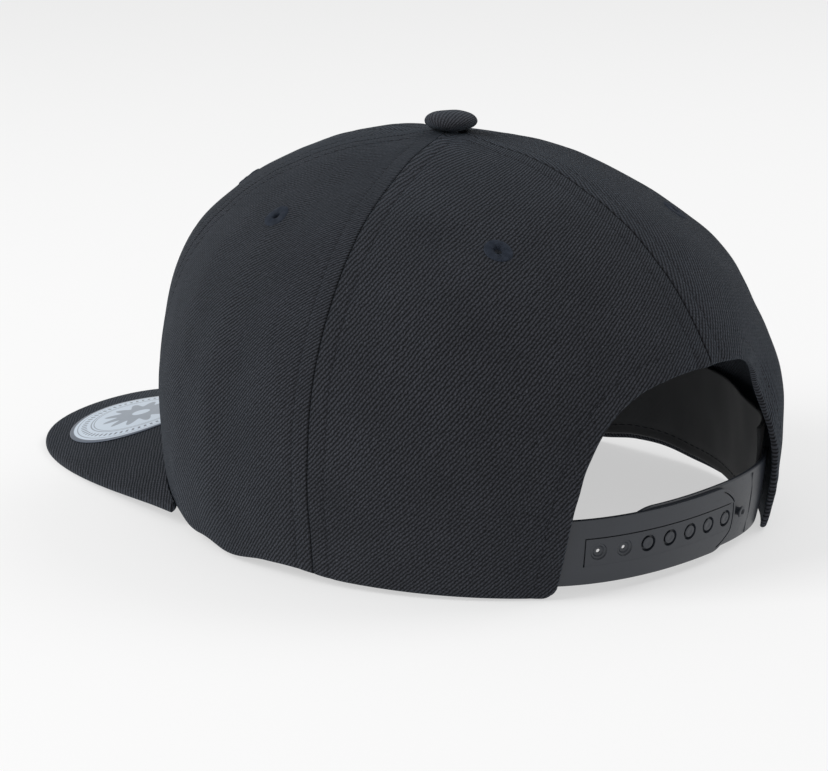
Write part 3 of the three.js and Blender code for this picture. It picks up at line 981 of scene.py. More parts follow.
class ClothMap:
    """The grain of one panel: how far round and how far up the cloth a point lies."""

    def __init__(self, shape: CrownShape, start: float, end: float) -> None:
        """Measures the cloth between two angles."""
        self.angles = np.linspace(start, end, 61)
        self.rises = np.linspace(0.0, 1.0, 161)
        grid = shape.smooth(self.angles[None, :], self.rises[:, None])
        round_steps = np.linalg.norm(np.diff(grid, axis=1), axis=2)
        up_steps = np.linalg.norm(np.diff(grid, axis=0), axis=2)
        rows, columns = grid.shape[:2]
        u = np.concatenate([np.zeros((rows, 1)), np.cumsum(round_steps, axis=1)], axis=1)
        v = np.concatenate([np.zeros((1, columns)), np.cumsum(up_steps, axis=0)], axis=0)
        self.table = np.stack([u - u[:, columns // 2 :][:, :1], v], axis=-1)

    def at(self, angle: Array, rise: Array) -> Array:
        """Returns the two coordinates, in millimetres."""
        column = (angle - self.angles[0]) / (self.angles[1] - self.angles[0])
        row = rise / (self.rises[1] - self.rises[0])
        c = np.clip(np.floor(column).astype(int), 0, len(self.angles) - 2)
        r = np.clip(np.floor(row).astype(int), 0, len(self.rises) - 2)
        a, b = (column - c)[..., None], (row - r)[..., None]
        low = self.table[r, c] * (1 - a) + self.table[r, c + 1] * a
        high = self.table[r + 1, c] * (1 - a) + self.table[r + 1, c + 1] * a
        return low * (1 - b) + high * b


@dataclass
class Crown(Assembly):
    """The six cloth panels with their seams, hems, stitch rows and eyelets."""

    finishes: Finishes
    shape: CrownShape = field(default_factory=CrownShape)
    gap: ArchedGap = field(default_factory=ArchedGap)
    sewing: Sewing = field(default_factory=Sewing)
    stitch: Stitch = field(default_factory=Stitch)
    front_span: float = 43.0
    side_span: float = 58.7
    seam_gap: float = 0.03
    shank_room: float = 3.4
    gather: float = 0.9
    gather_width: float = 9.0
    arch_share: float = 0.5
    row_crowding: float = 0.9
    row_lateness: float = 1.2
    spacing: float = 1.25
    eyelet_hole: float = 2.7
    seam_marks: tuple[float, ...] = (
        0, 0.1, 0.25, 0.45, 0.7, 1.0, 1.5, 2.2, 3.1, 4.1, 4.9, 5.4, 5.8, 6.2, 6.8, 7.8,
    )
    hem_marks: tuple[float, ...] = (0, 0.1, 0.25, 0.45, 0.75, 1.2, 1.9)
    top_marks: tuple[float, ...] = (0, 1.0)
    arch_top_marks: tuple[float, ...] = (0, 0.3, 0.7, 1.2)
    top_fade: tuple[float, float] = (7.0, 14.0)
    row_end: float = 11.5
    row_sink: float = 0.03

    def __post_init__(self) -> None:
        """Works out the seams, the top and the tracks that cloth is measured from."""
        side, back = self.front_span, self.front_span + self.side_span
        self.cuts = [
            PanelCut(name, hand, *ends, height, share)
            for name, low, high, height, share in (
                ("front", 0.0, side, 97.3, 0.5),
                ("side", side, back, 97.3, 0.5),
                ("back", back, 180.0, 96.4, 0.47),
            )
            for hand, ends in ((Hand.LEFT, (low, high)), (Hand.RIGHT, (360 - high, 360 - low)))
        ]
        rises = np.linspace(0.5, 1.0, 4001)
        widths = self.shape.smooth(np.full(4001, 90.0), rises)[:, 0]
        self.top_rise = float(rises[np.argmax(widths < self.shank_room)])
        self.arch_rise = float(self.shape.rise_at(np.array(180.0), np.array(self.gap.height)))
        self.seams = {
            angle: self.seam_track(angle)
            for angle in (0.0, side, back, 180.0, 360 - back, 360 - side, 360.0)
        }
        self.arches = {hand: self.arch_track(hand) for hand in Hand}

    def seam_track(self, angle: float) -> Track:
        """Returns the line of a seam."""
        low = self.arch_rise if angle == 180.0 else 0.0
        rises = np.linspace(low, 1.0, 700)
        return Track(self.shape.smooth(np.full(700, angle), rises))

    def arch_track(self, hand: Hand) -> Track:
        """Returns the line of the arched gap's edge on one side."""
        share = np.linspace(0, 1, 500)
        half, height = self.gap.edge(share, hand)
        turn = self.shape.aside(half, height)
        angle = 180 - turn if hand is Hand.LEFT else 180 + turn
        return Track(self.shape.smooth(angle, self.shape.rise_at(angle, height)))

    def off_seam(self, angle: Array, rise: Array, side: float) -> Array:
        """Returns an angle moved off a seam by half its gap."""
        return angle + side * self.seam_gap / 2 / self.shape.per_degree(angle, rise)

    def plain_place(self, cut: PanelCut, across: Array, up: Array) -> tuple[Array, Array]:
        """Returns the angle and rise of places in the square of a front or side panel."""
        rise = up * self.top_rise
        start = self.off_seam(np.full(rise.shape, cut.start), rise, 1.0)
        end = self.off_seam(np.full(rise.shape, cut.end), rise, -1.0)
        return start + (end - start) * across, rise

    def back_place(self, cut: PanelCut, across: Array, up: Array) -> tuple[Array, Array]:
        """Returns the same for a back panel, whose square follows the arch and then the seam."""
        if cut.hand is Hand.RIGHT:
            across = 1 - across
        half, height = self.gap.edge(np.minimum(up / self.arch_share, 1), cut.hand)
        over = np.maximum(up - self.arch_share, 0) / (1 - self.arch_share)
        seam_rise = self.arch_rise + (self.top_rise - self.arch_rise) * over
        edge_angle = 180 - self.shape.aside(np.maximum(half, 0), height)
        inner_rise = np.where(over > 0, seam_rise, self.shape.rise_at(edge_angle, height))
        on_seam = np.full(up.shape, 180.0)
        seam_angle = self.off_seam(on_seam, np.maximum(inner_rise, self.arch_rise), -1.0)
        inner_angle = np.minimum(edge_angle, seam_angle)
        outer_rise = self.top_rise * up**self.row_crowding
        rise = outer_rise + (inner_rise - outer_rise) * across**self.row_lateness
        side = self.off_seam(np.full(up.shape, self.front_span + self.side_span), outer_rise, 1.0)
        angle = side + (inner_angle - side) * across
        return (angle if cut.hand is Hand.LEFT else 360 - angle), rise

    def rows_of(self, cut: PanelCut) -> Array:
        """Returns the rows of a panel's square, evenly spaced along its cloth."""
        fine = np.linspace(0, 1, 801)
        if not cut.is_back:
            middle = np.full(801, (cut.start + cut.end) / 2)
            line = Track(self.shape.smooth(middle, fine * self.top_rise))
            marks = graded(line.along[-1], self.hem_marks, self.top_marks, self.spacing)
            return np.interp(marks * line.along[-1], line.along, fine)
        inner = np.full(801, 1.0 if cut.hand is Hand.LEFT else 0.0)
        parts = []
        for low, high in ((0.0, self.arch_share), (self.arch_share, 1.0)):
            share = low + (high - low) * fine
            line = Track(self.shape.smooth(*self.back_place(cut, inner, share)))
            start = self.hem_marks if low == 0 else self.arch_top_marks
            marks = graded(line.along[-1], start, self.top_marks, self.spacing)
            parts.append(np.interp(marks * line.along[-1], line.along, share))
        return np.concatenate([parts[0], parts[1][1:]])

    def columns_of(self, cut: PanelCut) -> Array:
        """Returns the columns of a panel's square, close together at its seams."""
        angles = np.linspace(cut.start, cut.end, 200)
        width = Track(self.shape.smooth(angles, np.full(200, 0.4))).along[-1]
        return graded(width, self.seam_marks, self.seam_marks, self.spacing)

    def round_corner(self, cut: PanelCut, angle: Array, rise: Array) -> tuple[Array, Array, Array]:
        """Rounds the lower corner beside the arched gap.

        Args:
            cut: a back panel.
            angle: the angles of its grid.
            rise: their rises.

        Returns:
            The moved angles and rises, and the distance to the free edge.
        """
        base = self.shape.smooth(angle, rise)
        aside, _ = self.arches[cut.hand].measure(base)
        above = base[..., 2] - self.shape.rim_height(angle)
        radius = self.gap.corner
        px = np.clip(radius - aside, 0, None)
        py = np.clip(radius - above, 0, None)
        both = (px > 0) & (py > 0)
        ratio = np.maximum(px, py) / np.maximum(np.hypot(px, py), 1e-9)
        away = np.where(both, px * (1 - ratio), 0.0)
        lift = np.where(both, py * (1 - ratio), 0.0)
        towards = -1.0 if cut.hand is Hand.LEFT else 1.0
        angle = angle + towards * away / self.shape.per_degree(angle, rise)
        height = base[..., 2] + lift
        rise = np.where(lift > 0, self.shape.rise_at(angle, height), rise)
        return angle, rise, np.minimum(aside, above)

    def relief(self, cut: PanelCut, angle: Array, rise: Array) -> tuple[Array, Array]:
        """Returns how far the sewn cloth stands out, and the map of its sewing."""
        base = self.shape.smooth(angle, rise)
        radius = np.hypot(base[..., 0], base[..., 1] + self.shape.top_forward)
        fade = ease(radius, *self.top_fade)
        out = self.shape.fold_out(angle, rise)
        nearest = np.full(angle.shape, 99.0)
        pace = np.zeros(angle.shape)
        for end in (cut.start, cut.end):
            away, along = self.seams[end].measure(base)
            if end == 180.0:
                below = np.clip(self.gap.height - base[..., 2], 0, None)
                away = away + below
            out = out + self.sewing.seam(away) * (0.35 + 0.65 * fade)
            pace = np.where(away < nearest, along, pace)
            nearest = np.minimum(nearest, away)
        if cut.is_back:
            aside, _ = self.arches[cut.hand].measure(base)
            out = out + self.sewing.hem(aside) + self.sewing.hem_ripple(base, aside)
        out = out + self.gather * bell(radius, 0.0, self.gather_width)
        out = out + self.sewing.softness(base) * ease(base[..., 2], -2.0, 14.0) * fade
        sewn = np.stack([nearest * fade + 40 * (1 - fade), pace], axis=-1)
        return out, sewn

    def surface(self, cut: PanelCut, angle: Array, rise: Array) -> tuple[Array, Array]:
        """Returns points of the sewn cloth's outer face, and its outward directions."""
        out, _ = self.relief(cut, angle, rise)
        normal = self.shape.normal(angle, rise)
        return self.shape.smooth(angle, rise) + normal * out[..., None], normal

    def eyelet_place(self, cut: PanelCut) -> tuple[Array, Array]:
        """Returns the angle and rise of a panel's eyelet."""
        share = cut.eyelet_share if cut.hand is Hand.LEFT else 1 - cut.eyelet_share
        angle = np.array([cut.start + (cut.end - cut.start) * share])
        return angle, self.shape.rise_at(angle, np.array([cut.eyelet_height]))

    def eyelet_spot(self, cut: PanelCut) -> tuple[Array, Array]:
        """Returns where a panel's eyelet stands, and its outward direction."""
        point, normal = self.surface(cut, *self.eyelet_place(cut))
        return point[0], normal[0]

    def drape(self, bm: bmesh.types.BMesh, cut: PanelCut) -> None:
        """Lays a flat mesh onto a panel, its middle at the panel's eyelet."""
        angle, rise = self.eyelet_place(cut)
        co = np.array([vert.co for vert in bm.verts])
        step = 0.002
        ahead = self.shape.smooth(angle, rise + step) - self.shape.smooth(angle, rise - step)
        per_rise = float(np.linalg.norm(ahead)) / (2 * step)
        turn = angle + co[:, 0] / float(self.shape.per_degree(angle, rise)[0])
        points, outward = self.surface(cut, turn, rise + co[:, 1] / per_rise)
        for vert, spot in zip(bm.verts, points + outward * co[:, 2:]):
            vert.co = spot

    def panel(self, cut: PanelCut) -> bpy.types.Object:
        """Builds one panel as a closed wall of cloth."""
        across, up = np.meshgrid(self.columns_of(cut), self.rows_of(cut))
        place = self.back_place if cut.is_back else self.plain_place
        angle, rise = place(cut, across, up)
        base = self.shape.smooth(angle, rise)
        free = base[..., 2] - self.shape.rim_height(angle)
        if cut.is_back:
            angle, rise, free = self.round_corner(cut, angle, rise)
        out, sewn = self.relief(cut, angle, rise)
        base, normal = self.shape.smooth(angle, rise), self.shape.normal(angle, rise)
        roll = rolled(free, self.sewing.edge_roll)
        flat = normal.copy()
        low = ease(free, 4.0, 0.0)[..., None]
        flat[..., 2] = 0
        level = normal * (1 - low) + flat / np.linalg.norm(flat, axis=-1, keepdims=True) * low
        outer = base + level * (out - roll)[..., None]
        smooth_out = self.shape.fold_out(angle, rise)
        inner = base + level * (smooth_out - self.shape.cloth + roll)[..., None]
        spot, axis = self.eyelet_spot(cut)
        hole = self.open_eyelet(outer, inner, spot, axis)
        maps = {"cloth": ClothMap(self.shape, cut.start, cut.end).at(angle, rise), "sewn": sewn}
        bm = shell(PLACE.seat(outer), PLACE.seat(inner), maps, hole)
        return mesh_object(bm, f"cloth_{cut.node}", self.finishes.cloth)

    def open_eyelet(self, outer: Array, inner: Array, spot: Array, axis: Array) -> Array:
        """Opens a round hole for an eyelet.

        Args:
            outer: the outer face's grid, whose points round the hole move onto its edge.
            inner: the inner face's grid, moved likewise.
            spot: the hole's middle.
            axis: its direction.

        Returns:
            Flags of the grid's points inside the hole.
        """
        offset = outer - spot
        flat = offset - (offset @ axis)[..., None] * axis
        radius = np.linalg.norm(flat, axis=-1)
        hole = radius < self.eyelet_hole
        ring = np.zeros(hole.shape, bool)
        for rows, columns in ((1, 0), (-1, 0), (0, 1), (0, -1), (1, 1), (1, -1), (-1, 1), (-1, -1)):
            ring |= np.roll(hole, (rows, columns), axis=(0, 1))
        ring &= ~hole
        shift = flat * (self.eyelet_hole / np.maximum(radius, 1e-9) - 1)[..., None]
        outer[ring] += shift[ring]
        inner[ring] += shift[ring]
        return hole

    def stitch_rows(self) -> bpy.types.Object:
        """Sews the double rows beside the seams and the row round the arched gap."""
        bm = bmesh.new()
        for cut in self.cuts:
            for end, side in ((cut.start, 1.0), (cut.end, -1.0)):
                low = self.arch_rise if end == 180.0 else 0.0
                rise = np.linspace(low, 1.0, 900)[:-2]
                seam = np.full(rise.shape, end)
                angle = seam + side * self.sewing.stitch_away / self.shape.per_degree(seam, rise)
                base = self.shape.smooth(angle, rise)
                radius = np.hypot(base[:, 0], base[:, 1] + self.shape.top_forward)
                inside = (radius > self.row_end) & (np.abs(angle - end) < 0.5 * (cut.end - cut.start))
                if end == 180.0:
                    inside &= base[:, 2] > self.gap.height + self.sewing.arch_stitch_away
                points, outward = self.surface(cut, angle[inside], rise[inside])
                self.stitch.follow(bm, points - outward * self.row_sink, outward, 1.6)
            if cut.is_back:
                self.arch_row(bm, cut)
        settle(bm)
        return mesh_object(bm, "stitch_rows", self.finishes.stitch)

    def arch_row(self, bm: bmesh.types.BMesh, cut: PanelCut) -> None:
        """Sews the row that follows the arched gap's edge on one panel."""
        up = np.linspace(0.0, 0.75, 260)
        across = np.linspace(0.35, 1.0, 240)
        if cut.hand is Hand.RIGHT:
            across = 1 - across
        grid_across, grid_up = np.meshgrid(across, up)
        angle, rise = self.back_place(cut, grid_across, grid_up)
        aside, _ = self.arches[cut.hand].measure(self.shape.smooth(angle, rise))
        goal = self.sewing.arch_stitch_away
        spots = []
        for row in range(len(up)):
            crossing = np.nonzero((aside[row, :-1] - goal) * (aside[row, 1:] - goal) <= 0)[0]
            if len(crossing) == 0:
                continue
            c = crossing[-1]
            share = (goal - aside[row, c]) / (aside[row, c + 1] - aside[row, c])
            pair = [t[row, c] + (t[row, c + 1] - t[row, c]) * share for t in (angle, rise)]
            spots.append(pair)
        places = np.array(spots)
        points, outward = self.surface(cut, places[:, 0], places[:, 1])
        self.stitch.follow(bm, points - outward * self.row_sink, outward, 1.8)

    def build(self) -> None:
        """Builds the panels, their stitches and their eyelets."""
        eyelet = Eyelet()
        for cut in self.cuts:
            self.seat(self.panel(cut), "cloth", cut.node)
            name = f"eyelet_{cut.name}_{cut.hand.value}"
            bm = eyelet.build()
            self.drape(bm, cut)
            settle(bm)
            ring = mesh_object(bm, f"thread_{name}", self.finishes.eyelet)
            self.seat(ring, "thread", name)
        self.seat(self.stitch_rows(), "thread")


@dataclass(frozen=True)
class Eyelet:
    """A stitched air hole: a ring of satin thread laid over its edge."""

    radius: float = 4.3
    hole: float = 1.15
    barrel: float = 1.0
    proud: float = 0.32
    depth: float = 2.3
    threads: int = 44
    ridge: float = 0.11

    def build(self) -> bmesh.types.BMesh:
        """Returns the ring, flat and round the origin, with its ridges of thread."""
        outer, hole, top = self.radius, self.hole, self.proud
        profile = [
            (hole + 0.05, -self.depth), (hole + self.barrel, -self.depth),
            (hole + self.barrel, -0.5), (outer - 0.2, -0.5), (outer, -0.1),
            (outer - 0.15, top * 0.55), (outer - 0.6, top * 0.88), (outer - 1.3, top),
            (outer - 2.0, top * 0.92), (hole + 0.55, top * 0.6), (hole + 0.12, top * 0.05),
            (hole, -0.7), (hole + 0.05, -self.depth),
        ]
        bm = turned(profile, self.threads * 2)
        for vert in bm.verts:
            angle = math.atan2(vert.co.y, vert.co.x)
            radius = math.hypot(vert.co.x, vert.co.y)
            if vert.co.z > -0.3 and radius < outer + 0.01:
                wobble = 1 + 0.5 * math.sin(angle * 7)
                vert.co.z += self.ridge * wobble * math.cos(angle * self.threads)
        return bm


@dataclass
class Button(Assembly):
    """The cloth-covered button on its shank, over the place where the panels meet."""

    finishes: Finishes
    shape: CrownShape = field(default_factory=CrownShape)
    radius: float = 8.3
    height: float = 6.4
    shank: float = 2.2
    reach: float = 4.5
    lift: float = 0.1
    waist: float = 3.5
    belly: float = 2.9
    fullness: float = 0.76
    stretch: float = 1.12
    lump: float = 0.16
    lump_size: float = 3.2

    def spread(self, vert: bmesh.types.BMVert) -> tuple[float, float]:
        """Returns where a point of the button lies on its cloth, measured over its profile."""
        co, high = vert.co, self.waist
        radius = max(math.hypot(co.x, co.y), 1e-6)
        climb = (co.z - high) / (self.height - high if co.z > high else self.belly)
        over = math.atan2(radius / self.radius, climb) / (math.pi / 2)
        way = over * self.radius * self.stretch / radius
        return co.x * way, co.y * way

    def build(self) -> None:
        """Builds the button."""
        h, r = self.height, self.radius
        low, high = self.waist - self.belly, self.waist
        profile = [(0.0, -self.reach), (self.shank, -self.reach), (self.shank, low + 0.1)]
        for t in np.radians(np.arange(35, 90, 11)):
            profile.append((r * math.sin(t) ** self.fullness, high - (high - low) * math.cos(t)))
        for t in np.radians(np.arange(0, 91, 9)):
            profile.append((r * abs(math.cos(t)) ** self.fullness, high + (h - high) * math.sin(t)))
        bm = turned(profile, 72)
        lay_map(bm, "cloth", self.spread)
        for vert in bm.verts:
            if vert.co.z > 0.6:
                lump = noise.noise(vert.co / self.lump_size + Vector((5, 5, 5)))
                vert.co += vert.co.normalized() * lump * self.lump
        seat = Vector((0, -self.shape.top_forward, self.shape.height + self.lift))
        bmesh.ops.translate(bm, vec=seat, verts=bm.verts[:])
        settle(bm)
        self.seat(mesh_object(bm, "covered_button", self.finishes.button), "cloth", "button")


# The visor


@dataclass
class Visor(Assembly):
    """The broad visor, one board in its cloth, and the round sticker on it."""

    finishes: Finishes
    shape: CrownShape = field(default_factory=CrownShape)
    heel: float = 2.7
    clearance: float = 0.3
    cloth_gap: float = 0.06
    squareness: float = 4.0
    taper: float = 1.1
    steps: int = 150
    rows: int = 44
    edge_steps: int = 10
    wave: float = 0.22
    wave_size: float = 22.0
    root_round: float = 0.9
    sticker_radius: float = 25.0
    sticker_thickness: float = 0.35
    sticker_gap: float = 0.16
    sticker_place: tuple[float, float] = (22.0, 40.0)

    def plan(self, turn: Array, out: Array, lift: Array) -> Array:
        """Returns plan points between the visor's inner (0) and outer (1) edges.

        Args:
            turn: from -1 at one end of the visor to 1 at the other.
            out: the share of the way from the inner to the outer edge.
            lift: the height above the crown's lower edge at which the crown's wall is cleared.

        Returns:
            Points in plan.
        """
        span, shape = self.shape.visor_span, self.shape
        angle = turn * span
        a = np.radians(angle)
        normal = np.stack([np.sin(a) / shape.rim_width, -np.cos(a) / shape.rim_length], axis=-1)
        normal /= np.linalg.norm(normal, axis=-1, keepdims=True)
        height = shape.rim_height(angle) + lift
        wall = shape.smooth(angle, shape.rise_at(angle, height))[..., :2]
        inner = wall + normal * self.cloth_gap
        corner = shape.rim(np.array(span))
        sideways = np.sin(np.radians(90 * turn))
        reach = np.maximum(1 - np.abs(sideways) ** self.squareness, 0) ** self.taper
        length = shape.visor_length + shape.rim_length / 2 + corner[1]
        x = (corner[0] + self.clearance + self.heel) * sideways
        outer = np.stack([x, corner[1] - length * reach], axis=-1)
        return inner + (outer - inner) * out[..., None]

    def board(self) -> bpy.types.Object:
        """Builds the visor: a grid that runs over its top, round its edge and back under it."""
        half = self.shape.visor_thickness / 2
        turn = np.sin(np.linspace(-1, 1, self.steps + 1) * np.pi / 2 * 0.93) / math.sin(np.pi / 2 * 0.93)
        level = np.full(turn.shape, 2 * half)
        edges = self.plan(turn, turn * 0, level), self.plan(turn, turn * 0 + 1, level)
        width = np.linalg.norm(edges[0] - edges[1], axis=-1)
        round_share = np.minimum(half, width * 0.45) / width
        near_wall = np.array([0.0, 0.25, 0.6, 1.1]) / 77
        shares = np.concatenate([near_wall, np.linspace(1.8 / 77, 1, self.rows)])
        rows = [(share * (1 - round_share), np.full(turn.shape, half)) for share in shares]
        for t in np.linspace(0, np.pi, self.edge_steps + 1)[1:-1]:
            lift = np.full(turn.shape, half * math.cos(t))
            rows.append((1 - round_share + round_share * math.sin(t), lift))
        rows += [(share * (1 - round_share), np.full(turn.shape, -half)) for share in shares[::-1]]
        out = np.stack([row[0] for row in rows])
        lift = np.stack([row[1] for row in rows])
        spots = self.plan(np.broadcast_to(turn, out.shape), out, half + lift)
        middle = self.shape.visor_middle(spots[..., 0], spots[..., 1])
        points = np.concatenate([spots, (middle + lift)[..., None]], axis=-1)
        from_wall = out * width
        calm = ease(out, 0.0, 0.2) * (1 - ease(out, 0.85, 1.0))
        soft = waviness(points * [1, 1, 0], self.wave_size, 5.0) * self.wave * calm
        dip = rolled(from_wall, self.root_round) * np.sign(lift)
        points[..., 2] += soft - dip
        count, columns = points.shape[:2]
        bm, places = gridded(count, columns)
        inner_edges = [
            edge for edge in bm.edges
            if all(places[vert.index][0] in (0, count - 1) for vert in edge.verts)
        ]
        for vert in bm.verts:
            vert.co = points[places[vert.index]]
        bmesh.ops.bridge_loops(bm, edges=inner_edges)
        open_edges = [edge for edge in bm.edges if edge.is_boundary]
        filled = bmesh.ops.holes_fill(bm, edges=open_edges, sides=0)
        bmesh.ops.triangulate(bm, faces=filled["faces"])
        bmesh.ops.recalc_face_normals(bm, faces=bm.faces[:])
        lay_map(bm, "cloth", lambda vert: vert.co.xy)
        settle(bm)
        return mesh_object(bm, "visor_cloth", self.finishes.visor)

    def sticker(self) -> bpy.types.Object:
        """Builds the round sticker that lies on the visor and follows its curve."""
        r, t = self.sticker_radius, self.sticker_thickness
        profile = [(0.0, t)] + [(r * k / 12, t) for k in range(1, 12)]
        profile += [(r - 0.35, t), (r - 0.1, t - 0.05), (r, t / 2), (r, 0.02)]
        profile += [(r * k / 6, 0.0) for k in range(5, 0, -1)] + [(0.0, 0.0)]
        bm = turned(profile, 96)
        lay_map(bm, "disc", lambda vert: (vert.co.x / r, vert.co.y / r))
        front = -self.shape.rim_length / 2 - self.shape.visor_length
        centre = Vector((self.sticker_place[0], front + self.sticker_place[1], 0))
        top = self.shape.visor_thickness / 2 + self.sticker_gap
        for vert in bm.verts:
            vert.co += centre
            vert.co.z += float(self.shape.visor_middle(vert.co.x, vert.co.y)) + top
        settle(bm)
        return mesh_object(bm, "round_sticker", self.finishes.sticker)

    def build(self) -> None:
        """Builds the visor and its sticker."""
        self.seat(self.board(), "cloth", "visor")
        self.seat(self.sticker(), "sticker", "visor_sticker")


# The snap strap


@dataclass
class SnapStrap(Assembly):
    """The two halves of the strap: one with holes, one with pegs, snapped together.

    Each half is made flat, with x along it from the back seam, y up it and z outwards from
    its outer face, and is then bent round the crown.
    """

    finishes: Finishes
    shape: CrownShape = field(default_factory=CrownShape)
    gap: ArchedGap = field(default_factory=ArchedGap)
    bottom: float = 3.2
    width: float = 20.6
    thickness: float = 1.5
    tuck: float = 11.0
    inset: float = 3.8
    clearance: float = 0.5
    gap_between: float = 0.12
    pitch: float = 8.43
    hole_count: int = 7
    hole_radius: float = 1.9
    first_hole: float = 40.2
    tip: float = 5.2
    channel_width: float = 8.6
    channel_depth: float = 0.3
    channel_lead: float = 4.4
    groove_width: float = 0.5
    groove_depth: float = 0.75
    peg_count: int = 6
    pegs_in_holes: int = 5
    peg_length: float = 2.3
    snapped_length: float = 1.44
    rim_inset: float = 0.85
    peg_play: float = 0.05
    peg_tail: float = 3.4
    cut_through: float = 4.0
    edge_round: float = 0.7
    crest: float = 0.6
    tip_narrowing: float = 0.46
    tip_power: float = 3.2
    tip_bulge: float = 0.36
    bulge_power: float = 2.6
    end_narrowing: float = 0.12
    end_reach: float = 6.0
    ridge_place: float = -27.5

    def __post_init__(self) -> None:
        """Works out the places along the strap."""
        self.hole_depth = self.shape.cloth + self.clearance
        self.peg_depth = self.hole_depth + self.thickness + self.gap_between
        self.holes = [self.first_hole - k * self.pitch for k in range(self.hole_count)]
        start = self.holes[self.hole_count - self.pegs_in_holes]
        self.pegs = [start - k * self.pitch for k in range(self.peg_count)]
        low = np.array(self.bottom)
        self.feet = {hand: float(self.shape.aside(np.array(self.gap.foot[hand]), low)) for hand in Hand}
        self.lines = {depth: self.middle_line(depth) for depth in (self.hole_depth, self.peg_depth)}

    def sag(self, angle: Array) -> Array:
        """Returns how far the stiff strap runs inside the crown's curve between the feet."""
        foot = np.where(angle < 180, self.feet[Hand.LEFT], self.feet[Hand.RIGHT])
        share = np.minimum(np.abs(180 - angle) / foot, 1)
        return self.inset * (1 - share * share) ** 2

    def point(self, angle: Array, up: Array, depth: Array) -> Array:
        """Returns points at a height up the strap, a depth under the crown's face."""
        height = self.bottom + up
        wall = self.shape.point(angle, self.shape.rise_at(angle, height), depth + self.sag(angle))
        return np.concatenate([wall[..., :2], height[..., None]], axis=-1)

    def middle_line(self, depth: float) -> tuple[Array, Array]:
        """Returns distances from the back seam, positive to the wearer's left, and their angles."""
        angle = np.linspace(255.0, 105.0, 601)
        points = self.point(angle, np.full(601, self.width / 2), np.full(601, depth))
        along = Track(points).along
        return along - np.interp(-180.0, -angle, along), angle

    def bend(self, bm: bmesh.types.BMesh, depth: float) -> None:
        """Bends a flat half round the crown, its outer face a depth under the crown's."""
        ends = [vert.co.x for vert in bm.verts]
        for x in np.arange(min(ends) + 1.0, max(ends) - 0.5, 1.5):
            whole = bm.verts[:] + bm.edges[:] + bm.faces[:]
            bmesh.ops.bisect_plane(bm, geom=whole, dist=0.02, plane_co=(x, 0, 0), plane_no=(1, 0, 0))
        co = np.array([vert.co for vert in bm.verts])
        distances, angles = self.lines[depth]
        angle = np.interp(co[:, 0], distances, angles)
        bent = self.point(angle, co[:, 1], depth - co[:, 2])
        for vert, spot in zip(bm.verts, PLACE.seat(bent)):
            vert.co = spot

    def foot_distance(self, hand: Hand, depth: float) -> float:
        """Returns how far from the back seam the strap goes behind the crown."""
        middle = np.array(self.bottom + self.width / 2)
        turn = float(self.shape.aside(np.array(self.gap.foot[hand]), middle))
        distances, angles = self.lines[depth]
        angle = 180 - turn if hand is Hand.LEFT else 180 + turn
        return abs(float(np.interp(-angle, -angles, distances)))

    def outline(self, x: float, share: float, tip: float) -> tuple[float, float]:
        """Returns a place of the rounded tip.

        Args:
            x: the distance from the tip's end, before its corners are drawn in.
            share: from -1 at the lower edge to 1 at the upper edge.
            tip: how far the rounding reaches, or 0 for a square end.

        Returns:
            The distance along the half and the height over its middle line.
        """
        full = self.width / 2
        into = min(max((tip - x) / tip, 0.0), 1.0) if tip else 0.0
        side = share * full * (1 - self.tip_narrowing * into**self.tip_power)
        return x + tip * self.tip_bulge * into * abs(side / full) ** self.bulge_power, side

    def tip_groove(self, start: float) -> bmesh.types.BMesh:
        """Returns the cutter of the fine groove that follows the rounded tip."""
        tip = self.width / 2
        sides = np.linspace(0.55, 0.0, 16)[:-1]
        places = [(x * tip, -1.0) for x in sides]
        places += [(0.0, share) for share in np.linspace(-1, 1, 31)]
        places += [(x * tip, 1.0) for x in sides[::-1]]
        line = np.array([self.outline(x, share, tip) for x, share in places])
        for _ in range(6):
            line[1:-1] = (line[:-2] + 2 * line[1:-1] + line[2:]) / 4
        ahead = np.gradient(line, axis=0)
        inward = np.stack([ahead[:, 1], -ahead[:, 0]], axis=-1)
        inward /= np.linalg.norm(inward, axis=-1, keepdims=True)
        bm, places = gridded(2, len(line))
        for vert in bm.verts:
            row, column = places[vert.index]
            inset = self.rim_inset + self.groove_width * row
            x, y = line[column] + inward[column] * inset
            vert.co = (start + x, self.width / 2 + y, -self.groove_depth)
        bmesh.ops.solidify(bm, geom=bm.faces[:], thickness=0.1)
        deep = min(vert.co.z for vert in bm.verts) + 0.05
        for vert in bm.verts:
            vert.co.z = -self.groove_depth if vert.co.z < deep else 1.0
        bmesh.ops.recalc_face_normals(bm, faces=bm.faces[:])
        return bm

